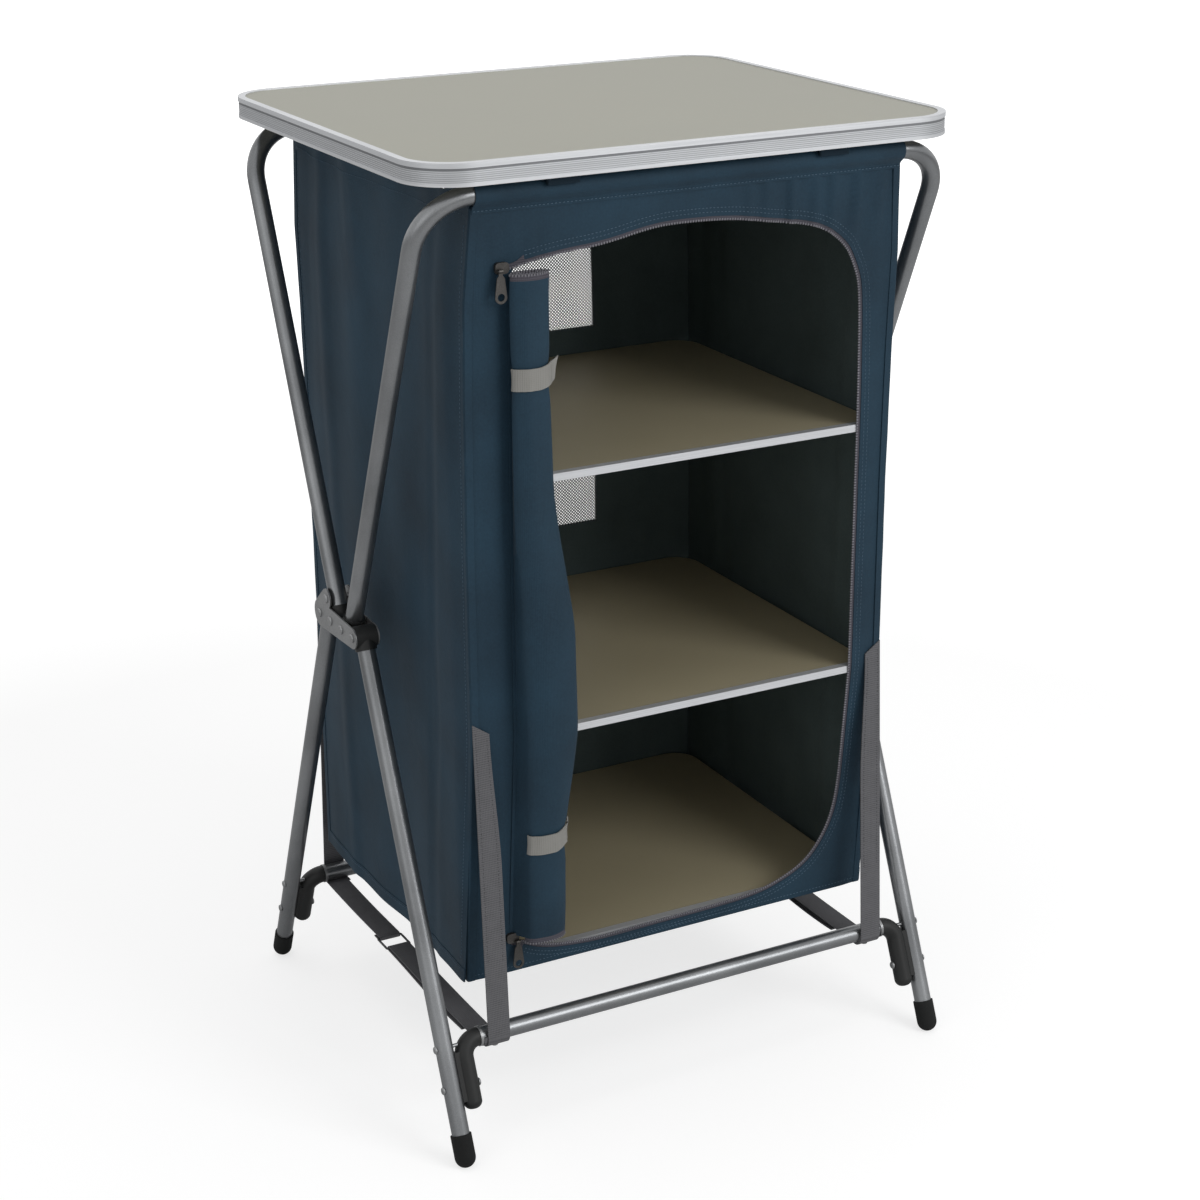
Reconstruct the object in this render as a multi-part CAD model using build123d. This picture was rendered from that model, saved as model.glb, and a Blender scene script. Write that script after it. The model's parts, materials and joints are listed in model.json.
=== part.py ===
"""Camping kitchen unit: a cloth cabinet hung in a folding tube frame under a table top.

Millimetres. X runs along the front, the front faces -Y, +Z is up. The origin lies on
the floor, midway between the four feet.
"""

from build123d import *
import math
import os

# Whole unit
unit_height = 1040.0
leg_plane_x = 291.0
hub_height = 517.5
rivet_pitch = 29.5

# Round tube of the frame
tube_diameter = 19.0
tube_wall = 1.2
top_bar_drop = 35.0
top_bend_radius = 55.0
tube_end_gap = 5.0
fit_clearance = 0.3
running_clearance = 0.05
overcut = 1.0

# Hub between the upper and lower legs
plate_thickness = 1.5
plate_gap = 24.0
plate_front_radius = 11.5
plate_rear_radius = 15.0
plate_lobe_radius = 11.0
lobe_rivet_distance = 24.0
knuckle_radius = 12.2
socket_radius = 11.5
socket_length = 15.0
rivet_radius = 3.0
rivet_head_radius = 5.0
rivet_head_height = 2.0
head_round_share = 0.8

# Lower crossbars, their elbows and the feet
crossbar_height = 119.0
crossbar_half_length = 252.0
ferrule_width = 3.0
ferrule_wall = 1.3
elbow_radius = 10.0
elbow_cheek_width = 13.0
elbow_cheek_reach = 12.5
elbow_reach = 62.0
spigot_length = 14.0
screw_radius = 2.0
screw_head_radius = 4.2
screw_head_height = 2.2
elbow_screw_distances = (3.0, 46.0)
foot_cap_radius = 11.2
foot_cap_length = 24.0
foot_flat = 0.5

# Table top
table_width = 600.0
table_depth = 520.0
table_overhang = 35.3
table_shift_y = 8.0
table_corner_radius = 55.0
table_board_thickness = 12.0
board_rebate = 0.2
rim_height = 22.0
rim_lip_overlap = 5.0
rim_lip_thickness = 1.0
rim_wall = 3.0
rim_lip_zone = 4.8
rim_groove_zone = 2.6
rim_bead_zone = 3.5
rim_groove_depth = 1.2
rim_rib_count = 6
rim_rib_depth = 0.6
rim_valley_depth = 0.95
clip_width = 34.0
clip_inset_x = 150.0
clip_wall = 5.0
clip_corner_radius = 2.0
clip_drop = 7.0
clip_screw_depth = 8.0

# Cloth cabinet
cloth_thickness = 1.2
cabinet_half_width = 244.0
cabinet_top_half_width = 235.0
cabinet_shoulder_drop = 140.0
cabinet_top_drop = 39.0
wall_middle_drops = (240.0, 390.0)
hem_height = 165.0
wall_knee_height = 444.0
wall_inset = 9.4
wall_seam_inset = 2.0
front_hem_inset = 25.5
side_fold_depth = 3.0
side_fold_count = 3
sleeve_wall = 1.2
sleeve_clearance = 0.3
stitch_gap = 0.4

# Door opening in the front wall
door_left = -195.0
door_right = 211.0
door_drop = 82.0
door_bottom = 178.0
door_left_drop = 105.0
door_left_bottom = 199.0
door_corner = 62.0
door_top_sag = 4.0
door_bottom_rise = 5.0
zip_width = 5.0
zip_thickness = 1.6

# Net windows in the back wall
net_half_width = 117.0
net_upper_drops = (296.0, 106.0)
net_lower_drops = (534.0, 350.0)
net_columns = 15
net_rows = 12
net_strand = 3.0

# Shelves
shelf_half_width = 238.0
shelf_rear_gap = 2.5
shelf_front_gap = 1.5
shelf_thickness = 6.5
shelf_corner_radius = 30.0
upper_shelf_drop = 323.0
bottom_shelf_height = 182.0
trim_depth = 9.0
trim_wall = 1.2
trim_gap = 0.1
ledge_width = 4.4
ledge_thickness = 2.0

# Rolled door, its ties and the zip sliders
roll_sections = (
    (211.0, -163.0, 25.0, 13.0),
    (338.0, -165.0, 24.0, 13.0),
    (454.0, -163.0, 31.0, 17.0),
    (552.0, -166.0, 31.0, 17.0),
    (unit_height - 329.0, -178.5, 22.5, 13.0),
    (unit_height - 119.0, -182.5, 21.0, 11.0),
)
roll_flattening = 1.5
roll_room = 30.0
tie_width = 22.0
tie_thickness = 1.5
tie_heights = {"upper": unit_height - 216.0, "lower": 318.0}
slider_length = 14.0
slider_width = 11.0
slider_depth = 4.0
slider_corner_radius = 3.3
slider_ear_width = 1.0
slider_points = {"upper": (-208.0, unit_height - 107.5), "lower": (-196.0, 208.0)}
slider_pin_shift = {"upper": (-3.0, -2.0), "lower": (4.5, -4.0)}
pull_length = 25.0
pull_top_width = 8.5
pull_bottom_width = 12.5
pull_thickness = 1.2
pull_pin_radius = 0.8
pull_eye_radius = 2.0
pull_hole_radius = 3.7

# Webbing
web_thickness = 1.4
web_width = 25.0
upright_web_x = 232.5
web_top_height = 462.0
web_top_slant = 13.0
web_screw_margin = 8.0
tension_web_x = (-236.0, 232.0)
tension_fold_length = 14.0
tension_tail_inset = 47.9
tension_wrap_rise = 10.0
buckle_y = 41.0
buckle_length = 30.0
buckle_bar = 2.6
buckle_corner_radius = 2.3

# Values worked out from the sizes above
tube_radius = tube_diameter / 2
tube_bore = tube_radius - tube_wall
upper_pivot_y = rivet_pitch / 2
lower_pivot_y = 1.5 * rivet_pitch
top_bar_height = unit_height - top_bar_drop
top_bar_y = table_depth / 2 - table_overhang
slope = (top_bar_y - upper_pivot_y) / (top_bar_height - hub_height)
angle = math.atan(slope)
crossbar_y = lower_pivot_y + (hub_height - crossbar_height) * slope
table_underside = unit_height - rim_lip_thickness - table_board_thickness
rim_bottom = unit_height - rim_height
foot_centre_height = foot_cap_radius - foot_flat
sleeve_inner = tube_radius + sleeve_clearance
sleeve_outer = sleeve_inner + sleeve_wall
wall_top_height = top_bar_height - sleeve_outer - stitch_gap
wall_top_y = top_bar_y - wall_seam_inset
cabinet_top_height = unit_height - cabinet_top_drop
cabinet_shoulder_height = unit_height - cabinet_shoulder_drop
wall_middle_heights = [unit_height - drop for drop in wall_middle_drops]
wall_steps = (wall_top_height, cabinet_shoulder_height, *wall_middle_heights, wall_knee_height)
wall_knee_y = crossbar_y - wall_inset
wall_hem_y = {"front": wall_knee_y - front_hem_inset, "rear": wall_knee_y}
door_top = unit_height - door_drop
door_left_top = unit_height - door_left_drop
net_upper = [unit_height - drop for drop in net_upper_drops]
net_lower = [unit_height - drop for drop in net_lower_drops]
shelf_rear_y = wall_knee_y - shelf_rear_gap
shelf_heights = {
    "upper": unit_height - upper_shelf_drop, "middle": wall_knee_height, "bottom": bottom_shelf_height
}
web_inner = tube_radius + fit_clearance
web_outer = web_inner + web_thickness
over_web_inner = web_outer + fit_clearance
over_web_outer = over_web_inner + web_thickness


def lower_leg_point(side, height):
    """Axis point (y, z) of a lower leg; side is -1 for the one that stands in front."""
    return side * (lower_pivot_y + (hub_height - height) * slope), height


def along(pivot_y, upwards, side, distance):
    """Point (y, z) at a distance from a hub rivet along its leg."""
    return (
        pivot_y + side * distance * math.sin(angle),
        hub_height + upwards * distance * math.cos(angle),
    )


def rod(start, end, radius, bore=0.0):
    """Straight round bar or tube between two points."""
    a, b = Vector(*start), Vector(*end)
    plane = Plane(origin=a, z_dir=(b - a).normalized())
    section = Circle(radius) - Circle(bore) if bore else Circle(radius)
    return extrude(plane * section, (b - a).length)


def cross_rod(y, z, x_low, x_high, radius):
    """Round bar along X."""
    return rod((x_low, y, z), (x_high, y, z), radius)


def wall_curve(height, end="front"):
    """How far the front or back wall hangs from the middle at a height, as a smooth curve."""
    if height >= wall_knee_height:
        share = (height - wall_knee_height) / (wall_top_height - wall_knee_height)
        return wall_knee_y + share**3 * (wall_top_y - wall_knee_y)
    share = (wall_knee_height - height) / (wall_knee_height - hem_height)
    return wall_knee_y + share * (wall_hem_y[end] - wall_knee_y)


def wall_reach(height, end="front"):
    """Distance of a wall's inner face from the middle, straight between the wall's steps."""
    steps = sorted((*wall_steps, hem_height))
    for low, high in zip(steps, steps[1:]):
        if height <= high:
            break
    share = min((height - low) / (high - low), 1.0)
    return wall_curve(low, end) + share * (wall_curve(high, end) - wall_curve(low, end))


def upper_frame(side):
    """One inverted U: two upper legs and the top bar between them, bent from one tube."""
    end_y, end_z = along(side * upper_pivot_y, 1, side, tube_end_gap)
    bar_y = side * top_bar_y
    points = [
        (-leg_plane_x, end_y, end_z),
        (-leg_plane_x, bar_y, top_bar_height),
        (leg_plane_x, bar_y, top_bar_height),
        (leg_plane_x, end_y, end_z),
    ]
    path = FilletPolyline(*points, radius=top_bend_radius)
    start = Plane(origin=path @ 0, z_dir=path % 0)
    tube = sweep(start * (Circle(tube_radius) - Circle(tube_bore)), path=path)
    if side > 0:
        lobe_y, lobe_z = lobe_rivet_point()
        reach = leg_plane_x + knuckle_radius
        tube -= cross_rod(lobe_y, lobe_z, -reach, reach, rivet_radius)
    return tube


def lobe_rivet_point():
    """Second rivet of the rear upper leg, which locks it to the hub plates."""
    return along(upper_pivot_y, 1, 1, lobe_rivet_distance)


def lower_leg(side, x_side):
    """Straight tube from the hub to the inside of the foot cap."""
    x = x_side * leg_plane_x
    top_y, top_z = along(side * lower_pivot_y, -1, side, tube_end_gap)
    foot_y, foot_z = lower_leg_point(side, foot_centre_height)
    leg = rod((x, top_y, top_z), (x, foot_y, foot_z), tube_radius, tube_bore)
    for y, z in elbow_screw_points(side):
        leg -= cross_rod(y, z, x - knuckle_radius, x + knuckle_radius, screw_radius)
    return leg


def knuckle(pivot_y, side, upwards, x_side, fixed):
    """Black end piece of a leg: a boss round the rivet and a socket over the tube's end."""
    x = x_side * leg_plane_x
    half = plate_gap / 2 - fit_clearance
    boss = cross_rod(pivot_y, hub_height, x - half, x + half, knuckle_radius)
    far_y, far_z = along(pivot_y, upwards, side, socket_length)
    end_y, end_z = along(pivot_y, upwards, side, tube_end_gap)
    out_y, out_z = along(pivot_y, upwards, side, socket_length + overcut)
    socket = rod((x, pivot_y, hub_height), (x, far_y, far_z), socket_radius)
    bore = rod((x, end_y, end_z), (x, out_y, out_z), tube_radius)
    hole = rivet_radius if fixed else rivet_radius + running_clearance
    reach = half + overcut
    return boss + socket - bore - cross_rod(pivot_y, hub_height, x - reach, x + reach, hole)


def rivet_points():
    """The four leg rivets in a row and the locking rivet in the lobe."""
    row = [(n * rivet_pitch, hub_height) for n in (-1.5, -0.5, 0.5, 1.5)]
    return row + [lobe_rivet_point()]


def hub_plate_outline():
    """Outline of a hub plate: a band along the rivet row and a lobe up to the locking rivet."""
    front, rear, lobe = rivet_points()[0], rivet_points()[3], lobe_rivet_point()
    band = make_hull(
        (Pos(*front) * Circle(plate_front_radius) + Pos(*rear) * Circle(plate_rear_radius)).edges()
    )
    ear = make_hull(
        (Pos(*lobe) * Circle(plate_lobe_radius) + Pos(*rear) * Circle(plate_rear_radius)).edges()
    )
    outline = band + ear
    for point in rivet_points():
        outline -= Pos(*point) * Circle(rivet_radius)
    return outline


def hub_plates(x_side):
    """The outer and inner steel plate of one hub."""
    plates = []
    for out in (-1, 1):
        face_x = x_side * leg_plane_x + out * plate_gap / 2
        plane = Plane(origin=(face_x, 0, 0), x_dir=(0, 1, 0), z_dir=(1, 0, 0))
        plates.append(extrude(plane * hub_plate_outline(), out * plate_thickness))
    return Compound(children=plates)


def domed_head(y, z, face_x, out, radius, height):
    """Rounded head along X, standing on a face on the side given by out."""
    low, high = sorted((face_x, face_x + out * height))
    head = cross_rod(y, z, low, high, radius)
    return fillet(head.edges().sort_by(Axis.X)[-1 if out > 0 else 0], height * head_round_share)


def hub_rivets():
    """Five rivets through the two plates of each hub."""
    half = plate_gap / 2 + plate_thickness
    rivets = []
    for x_side in (-1, 1):
        x = x_side * leg_plane_x
        for y, z in rivet_points():
            rivet = cross_rod(y, z, x - half, x + half, rivet_radius)
            for out in (-1, 1):
                rivet += domed_head(y, z, x + out * half, out, rivet_head_radius, rivet_head_height)
            rivets.append(rivet)
    return Compound(children=rivets)


def crossbar(side):
    """Lower bar between the two legs of one side, open at both ends for the elbows."""
    y = side * crossbar_y
    bar = rod((-crossbar_half_length, y, crossbar_height), (crossbar_half_length, y, crossbar_height),
              tube_radius, tube_bore)
    for x in (-upright_web_x, upright_web_x):
        bar -= rod((x, y, crossbar_height - tube_diameter), (x, y, crossbar_height), screw_radius)
    return bar


def ferrules(side):
    """Bright rings over the two ends of a crossbar."""
    y = side * crossbar_y
    rings = []
    for x_side in (-1, 1):
        inner_x = x_side * (crossbar_half_length - ferrule_width)
        outer_x = x_side * crossbar_half_length
        rings.append(
            rod((inner_x, y, crossbar_height), (outer_x, y, crossbar_height),
                tube_radius + ferrule_wall, tube_radius + running_clearance)
        )
    return Compound(children=rings)


def elbow_screw_points(side):
    """Where the two screws of an elbow pass through its leg."""
    start = (hub_height - crossbar_height) / math.cos(angle)
    return [along(side * lower_pivot_y, -1, side, start + d) for d in elbow_screw_distances]


def elbow_x(x_side):
    """Middle of an elbow's tongue, beside the inner side of the leg."""
    return x_side * (leg_plane_x - tube_radius - 2 * fit_clearance - elbow_radius)


def elbow(side, x_side):
    """Black elbow: a spigot in the crossbar, a bend, and a tongue down the leg's inner side."""
    bar_y = side * crossbar_y
    corner = Vector(elbow_x(x_side), bar_y, crossbar_height)
    down = Vector(0, side * math.sin(angle), -math.cos(angle))
    end = corner + down * (elbow_reach + elbow_radius)
    start = Vector(x_side * crossbar_half_length, bar_y, crossbar_height)
    path = FilletPolyline(start, corner, end, radius=abs(corner.X - start.X) - overcut)
    body = sweep(Plane(origin=path @ 0, z_dir=path % 0) * Circle(elbow_radius), path=path)
    body = fillet(body.edges().sort_by(Axis.Z)[0], elbow_radius * head_round_share)
    cheek = Pos(x_side * elbow_cheek_reach / 2, 0) * Rectangle(elbow_cheek_reach, elbow_cheek_width)
    cheek_start = corner + down * elbow_radius
    cheek = extrude(Plane(cheek_start, x_dir=(1, 0, 0), z_dir=down) * cheek, elbow_reach - elbow_radius)
    body += cheek - leg_space(side, x_side, tube_radius + fit_clearance)
    spigot_end = x_side * (crossbar_half_length - spigot_length)
    body += rod((spigot_end, bar_y, crossbar_height), tuple(start), tube_bore)
    for y, z in elbow_screw_points(side):
        tip_x = elbow_x(x_side) - x_side * (elbow_radius + overcut)
        low, high = sorted((tip_x, x_side * leg_plane_x))
        body -= cross_rod(y, z, low, high, screw_radius)
    return body


def leg_space(side, x_side, radius):
    """Round bar along the lower half of a leg, to cut its room out of a neighbour."""
    top = lower_leg_point(side, 2 * crossbar_height)
    foot = lower_leg_point(side, 0)
    x = x_side * leg_plane_x
    return rod((x, *top), (x, *foot), radius)


def elbow_screws(side):
    """Screws through each leg and its elbow, with a head outside and a nut inside the tongue."""
    screws = []
    for x_side in (-1, 1):
        head_x = x_side * (leg_plane_x + tube_radius - fit_clearance)
        tip_x = elbow_x(x_side) - x_side * elbow_radius
        for y, z in elbow_screw_points(side):
            shank = cross_rod(y, z, min(head_x, tip_x), max(head_x, tip_x), screw_radius)
            head = domed_head(y, z, head_x, x_side, screw_head_radius, screw_head_height)
            screw = shank + (head - leg_space(side, x_side, tube_radius))
            if z < crossbar_height - tube_diameter:
                screw += domed_head(y, z, tip_x, -x_side, screw_head_radius, screw_head_height)
            screws.append(screw)
    return Compound(children=screws)


def strap_screws(side):
    """Screws that hold the upright webbing under a crossbar."""
    y = side * crossbar_y
    screws = []
    low = crossbar_height - over_web_outer
    for x in (-upright_web_x, upright_web_x):
        head = rod((x, y, low - screw_head_height), (x, y, low), screw_head_radius)
        head = fillet(head.edges().sort_by(Axis.Z)[0], screw_head_height * head_round_share)
        screws.append(head + rod((x, y, low), (x, y, crossbar_height - tube_bore), screw_radius))
    return Compound(children=screws)


def foot_caps(side):
    """Rubber caps over the ends of two legs, round below with a small flat on the floor."""
    return Compound(children=[foot_cap(side, x_side) for x_side in (-1, 1)])


def foot_cap(side, x_side):
    """Rubber cap over the end of one leg."""
    x = x_side * leg_plane_x
    low_y, low_z = lower_leg_point(side, foot_centre_height)
    axis = Vector(0, -side * math.sin(angle), math.cos(angle))
    centre = Vector(x, low_y, low_z)
    top = centre + axis * foot_cap_length
    body = rod(tuple(centre), tuple(top), foot_cap_radius) + Pos(*centre) * Sphere(foot_cap_radius)
    body -= rod(tuple(centre), tuple(top + axis), tube_radius)
    floor = Pos(x, low_y, -foot_cap_radius) * Box(
        4 * foot_cap_radius, 4 * foot_cap_radius, 2 * foot_cap_radius
    )
    return body - floor


def table_outline(inset):
    """Outline of the table top, drawn in by an inset."""
    return Pos(0, table_shift_y) * RectangleRounded(
        table_width - 2 * inset, table_depth - 2 * inset, table_corner_radius - inset
    )


def table_board():
    """Core of the table top inside its rim."""
    face = table_outline(rim_wall + running_clearance)
    board = Pos(0, 0, table_underside) * extrude(face, table_board_thickness)
    rebate = face - table_outline(rim_wall + rim_lip_overlap + trim_gap)
    board -= Pos(0, 0, unit_height - rim_lip_thickness - board_rebate) * extrude(rebate, board_rebate)
    for side in (-1, 1):
        for clip_x in (-clip_inset_x, clip_inset_x):
            for x in clip_screw_places(clip_x):
                low = (x, side * top_bar_y, table_underside)
                board -= rod(low, (x, side * top_bar_y, table_underside + clip_screw_depth), screw_radius)
    return board


def table_rim():
    """Aluminium edge: a lip over the board, a groove, fine ribs and a lower bead."""
    rib_zone = rim_height - rim_lip_zone - rim_groove_zone - rim_bead_zone
    layers = [(rim_lip_zone, 0.0), (rim_groove_zone, rim_groove_depth)]
    for rib in range(rim_rib_count):
        layers.append((rib_zone / (2 * rim_rib_count), rim_rib_depth))
        layers.append((rib_zone / (2 * rim_rib_count), rim_valley_depth))
    layers.append((rim_bead_zone, 0.0))
    rim = None
    top = unit_height
    for thickness, inset in layers:
        face = table_outline(inset) - table_outline(rim_wall)
        layer = Pos(0, 0, top - thickness) * extrude(face, thickness)
        rim = layer if rim is None else rim + layer
        top -= thickness
    lip = table_outline(0) - table_outline(rim_wall + rim_lip_overlap)
    lip_depth = rim_lip_thickness + board_rebate
    rim += Pos(0, 0, unit_height - lip_depth) * extrude(lip, lip_depth)
    flange = table_outline(0) - table_outline(rim_wall + rim_lip_overlap / 2)
    rim += Pos(0, 0, rim_bottom) * extrude(flange, rim_lip_thickness)
    return rim


def table_clips():
    """Four L-shaped blocks under the top that hook over the outer side of the two top bars."""
    clips = []
    pad_low = top_bar_height + sleeve_outer + fit_clearance
    for side in (-1, 1):
        for x in (-clip_inset_x, clip_inset_x):
            outer_y = side * (top_bar_y + sleeve_outer + fit_clearance + clip_wall)
            inner_y = side * (top_bar_y - sleeve_outer)
            pad = Box(clip_width, abs(outer_y - inner_y), table_underside - pad_low)
            pad = Pos(x, (outer_y + inner_y) / 2, (table_underside + pad_low) / 2) * pad
            lip = Box(clip_width, clip_wall, clip_drop)
            lip = Pos(x, outer_y - side * clip_wall / 2, pad_low - clip_drop / 2) * lip
            clip = fillet((pad + lip).edges().filter_by(Axis.Z), clip_corner_radius)
            for screw_x in clip_screw_places(x):
                y = side * top_bar_y
                clip -= rod((screw_x, y, pad_low), (screw_x, y, table_underside), screw_radius)
            clips.append(clip)
    return Compound(children=clips)


def clip_screw_places(clip_x):
    """Where the two screws of a clip stand along X."""
    return (clip_x - clip_width / 4, clip_x + clip_width / 4)


def clip_screws():
    """Headless screws that hold the clips to the board."""
    screws = []
    low = top_bar_height + sleeve_outer + 2 * fit_clearance
    high = table_underside + clip_screw_depth
    for side in (-1, 1):
        for clip_x in (-clip_inset_x, clip_inset_x):
            for x in clip_screw_places(clip_x):
                screws.append(rod((x, side * top_bar_y, low), (x, side * top_bar_y, high), screw_radius))
    return Compound(children=screws)


def wall_points(end, rise=0.0):
    """Side profile (y, z) of the front or back wall from its seam to its hem."""
    side = -1 if end == "front" else 1
    return [(side * (wall_reach(z, end) + rise), z) for z in (*wall_steps, hem_height)]


def wall_layer(end, low, high):
    """Sheet that follows a wall between two distances outwards from its inner face."""
    profile = make_face(Polyline(*wall_points(end, low), *reversed(wall_points(end, high)), close=True))
    plane = Plane(origin=(-cabinet_half_width, 0, 0), x_dir=(0, 1, 0), z_dir=(1, 0, 0))
    return extrude(plane * profile, 2 * cabinet_half_width)


def wall_sheet(end):
    """Front or back cloth wall, cut narrower at its top, with the thickness outwards."""
    sheet = wall_layer(end, 0.0, cloth_thickness)
    taper = Polyline(
        (-cabinet_half_width, 0), (-cabinet_half_width, cabinet_shoulder_height),
        (-cabinet_top_half_width, unit_height), (cabinet_top_half_width, unit_height),
        (cabinet_half_width, cabinet_shoulder_height), (cabinet_half_width, 0), close=True,
    )
    mask = extrude(Plane.XZ * make_face(taper), table_depth, both=True)
    return sheet & mask


def door_face(inset=0.0):
    """Door opening in the X-Z plane: straight sides, round right corners, drawn-in left ends."""
    left, right = door_left + inset, door_right - inset
    top, bottom = door_top - inset, door_bottom + inset
    left_top, left_bottom = door_left_top - inset, door_left_bottom + inset
    round_off = door_corner * (1 - math.sqrt(0.5))
    middle = (left + right) / 2
    outline = [
        Line((left, left_bottom), (left, left_top)),
        ThreePointArc((left, left_top), (middle - door_corner, top - door_top_sag),
                      (middle + door_corner, top)),
        Line((middle + door_corner, top), (right - door_corner, top)),
        ThreePointArc((right - door_corner, top), (right - round_off, top - round_off),
                      (right, top - door_corner)),
        Line((right, top - door_corner), (right, bottom + door_corner)),
        ThreePointArc((right, bottom + door_corner), (right - round_off, bottom + round_off),
                      (right - door_corner, bottom)),
        Line((right - door_corner, bottom), (middle - door_corner, bottom)),
        ThreePointArc((middle - door_corner, bottom),
                      ((middle - door_corner + left) / 2, bottom + door_bottom_rise), (left, left_bottom)),
    ]
    return make_face(Wire(outline))


def front_panel():
    """Front cloth wall with the door cut out of it."""
    cut = extrude(Plane.XZ * door_face(), table_depth)
    return wall_sheet("front") - cut


def zip_track():
    """Zip tape round the door's top, right and bottom edges, lying on the cloth."""
    ring = extrude(Plane.XZ * (door_face() - door_face(zip_width)), table_depth)
    tape = wall_layer("front", 0.0, zip_thickness) & ring
    left_edge = Pos(door_left, 0, (door_top + door_bottom) / 2) * Box(
        2 * zip_width, table_depth * 2, door_top - door_bottom
    )
    return tape - left_edge


def net_face(low, high):
    """Window outline in the back wall."""
    return Pos(0, (low + high) / 2) * Rectangle(2 * net_half_width, high - low)


def back_panel():
    """Back cloth wall with its two net windows cut out."""
    panel = wall_sheet("rear")
    for low, high in (net_upper, net_lower):
        panel -= extrude(Plane.XZ * net_face(low, high), -table_depth)
    return panel


def net_window(limits):
    """Net sewn over a window: one sheet with a grid of square holes and a plain seam."""
    low, high = limits
    width, height = 2 * net_half_width, high - low
    holes = []
    cell_x = (width - net_strand) / net_columns
    cell_z = (height - net_strand) / net_rows
    for column in range(net_columns):
        for row in range(net_rows):
            x = -width / 2 + net_strand / 2 + (column + 0.5) * cell_x
            z = low + net_strand / 2 + (row + 0.5) * cell_z
            holes.append(Pos(x, z) * Rectangle(cell_x - net_strand, cell_z - net_strand))
    outline = Pos(0, (low + high) / 2) * Rectangle(width - 2 * fit_clearance, height - 2 * fit_clearance)
    sheet = outline - holes
    window = extrude(Plane.XZ * sheet, -table_depth)
    return wall_layer("rear", 0.0, cloth_thickness) & window


def side_wall(x_side):
    """Side cloth wall: a sheet with a few soft upright folds, cut to the cabinet's outline."""
    count = 2 * side_fold_count
    depth = 2 * (wall_knee_y - cloth_thickness)
    step = depth / count
    arcs = []
    start = -depth / 2
    for n in range(count):
        a = (x_side * cabinet_half_width, start + n * step)
        b = (x_side * cabinet_half_width, start + (n + 1) * step)
        bulge = side_fold_depth if n % 2 else -side_fold_depth / 3
        arcs.append(ThreePointArc(a, (a[0] + x_side * bulge, (a[1] + b[1]) / 2), b))
    inner = Wire(arcs)
    outer = Pos(x_side * cloth_thickness, 0) * inner
    ends = [Line(inner @ 0, outer @ 0), Line(inner @ 1, outer @ 1)]
    face = make_face(Wire([*inner.edges(), ends[1], *outer.edges(), ends[0]]))
    sheet = Pos(0, 0, hem_height) * extrude(face, cabinet_top_height - hem_height)
    seam_y = top_bar_y - sleeve_outer - fit_clearance
    heights = (hem_height, *reversed(wall_steps[1:]))
    outline = [(-wall_reach(z) + fit_clearance, z) for z in heights]
    outline += [(-seam_y, cabinet_top_height), (seam_y, cabinet_top_height)]
    outline += [(wall_reach(z, "rear") - fit_clearance, z) for z in reversed(heights)]
    plane = Plane(origin=(0, 0, 0), x_dir=(0, 1, 0), z_dir=(1, 0, 0))
    mask = extrude(plane * make_face(Polyline(*outline, close=True)), table_width, both=True)
    return sheet & mask


def floor_panel():
    """Cloth bottom of the cabinet at its hem."""
    width = 2 * (cabinet_half_width - side_fold_depth)
    front, rear = (wall_hem_y[end] - fit_clearance for end in ("front", "rear"))
    sheet = Box(width, front + rear, cloth_thickness)
    return Pos(0, (rear - front) / 2, hem_height + cloth_thickness / 2) * sheet


def sleeve(side):
    """Cloth sleeve round a top bar, from which a wall hangs."""
    y = side * top_bar_y
    return rod((-cabinet_top_half_width, y, top_bar_height), (cabinet_top_half_width, y, top_bar_height),
               sleeve_outer, sleeve_inner)


def shelf_front(height):
    """Front face of a shelf's trim, just behind the front wall."""
    return -wall_reach(height) + shelf_front_gap


def shelf_board(height):
    """Shelf board with round rear corners and a shallow rebate for the trim's upper flange."""
    front = shelf_front(height) + trim_wall + trim_gap
    depth = shelf_rear_y - front
    sheet = RectangleRounded(2 * shelf_half_width, depth, shelf_corner_radius)
    square_front = Pos(0, -depth / 4) * Rectangle(2 * shelf_half_width, depth / 2)
    face = Pos(0, front + depth / 2) * (sheet + square_front)
    board = Pos(0, 0, height - shelf_thickness) * extrude(face, shelf_thickness - trim_wall)
    rebate = Box(3 * shelf_half_width, 2 * (trim_depth - trim_wall), 2 * board_rebate)
    return board - Pos(0, front, height - trim_wall) * rebate


def shelf_trim(height):
    """Aluminium channel pressed over the front edge of a shelf."""
    front = shelf_front(height)
    low = height - shelf_thickness - trim_wall - trim_gap
    high = height + trim_gap
    outer = Pos(0, front + trim_depth / 2, (low + high) / 2) * Box(
        2 * shelf_half_width, trim_depth, high - low
    )
    slot_low = height - shelf_thickness - trim_gap
    slot_high = height - trim_wall + trim_gap - board_rebate
    slot = Pos(0, front + trim_wall + trim_depth, (slot_low + slot_high) / 2) * Box(
        3 * shelf_half_width, 2 * trim_depth, slot_high - slot_low
    )
    return outer - slot


def shelf_ledges(height):
    """Folded cloth ledges on the side walls under a shelf's two side edges."""
    top = height - shelf_thickness - trim_wall - trim_gap - fit_clearance
    front = shelf_front(height) + trim_depth
    length = shelf_rear_y - front
    ledges = []
    for x_side in (-1, 1):
        x = x_side * (cabinet_half_width - side_fold_depth / 3 - ledge_width / 2 - fit_clearance)
        ledge = Box(ledge_width, length, ledge_thickness)
        ledges.append(Pos(x, front + length / 2, top - ledge_thickness / 2) * ledge)
    return Compound(children=ledges)


def wall_face_y(height):
    """Outer face of the front wall at a height."""
    return -wall_reach(height) - cloth_thickness


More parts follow.
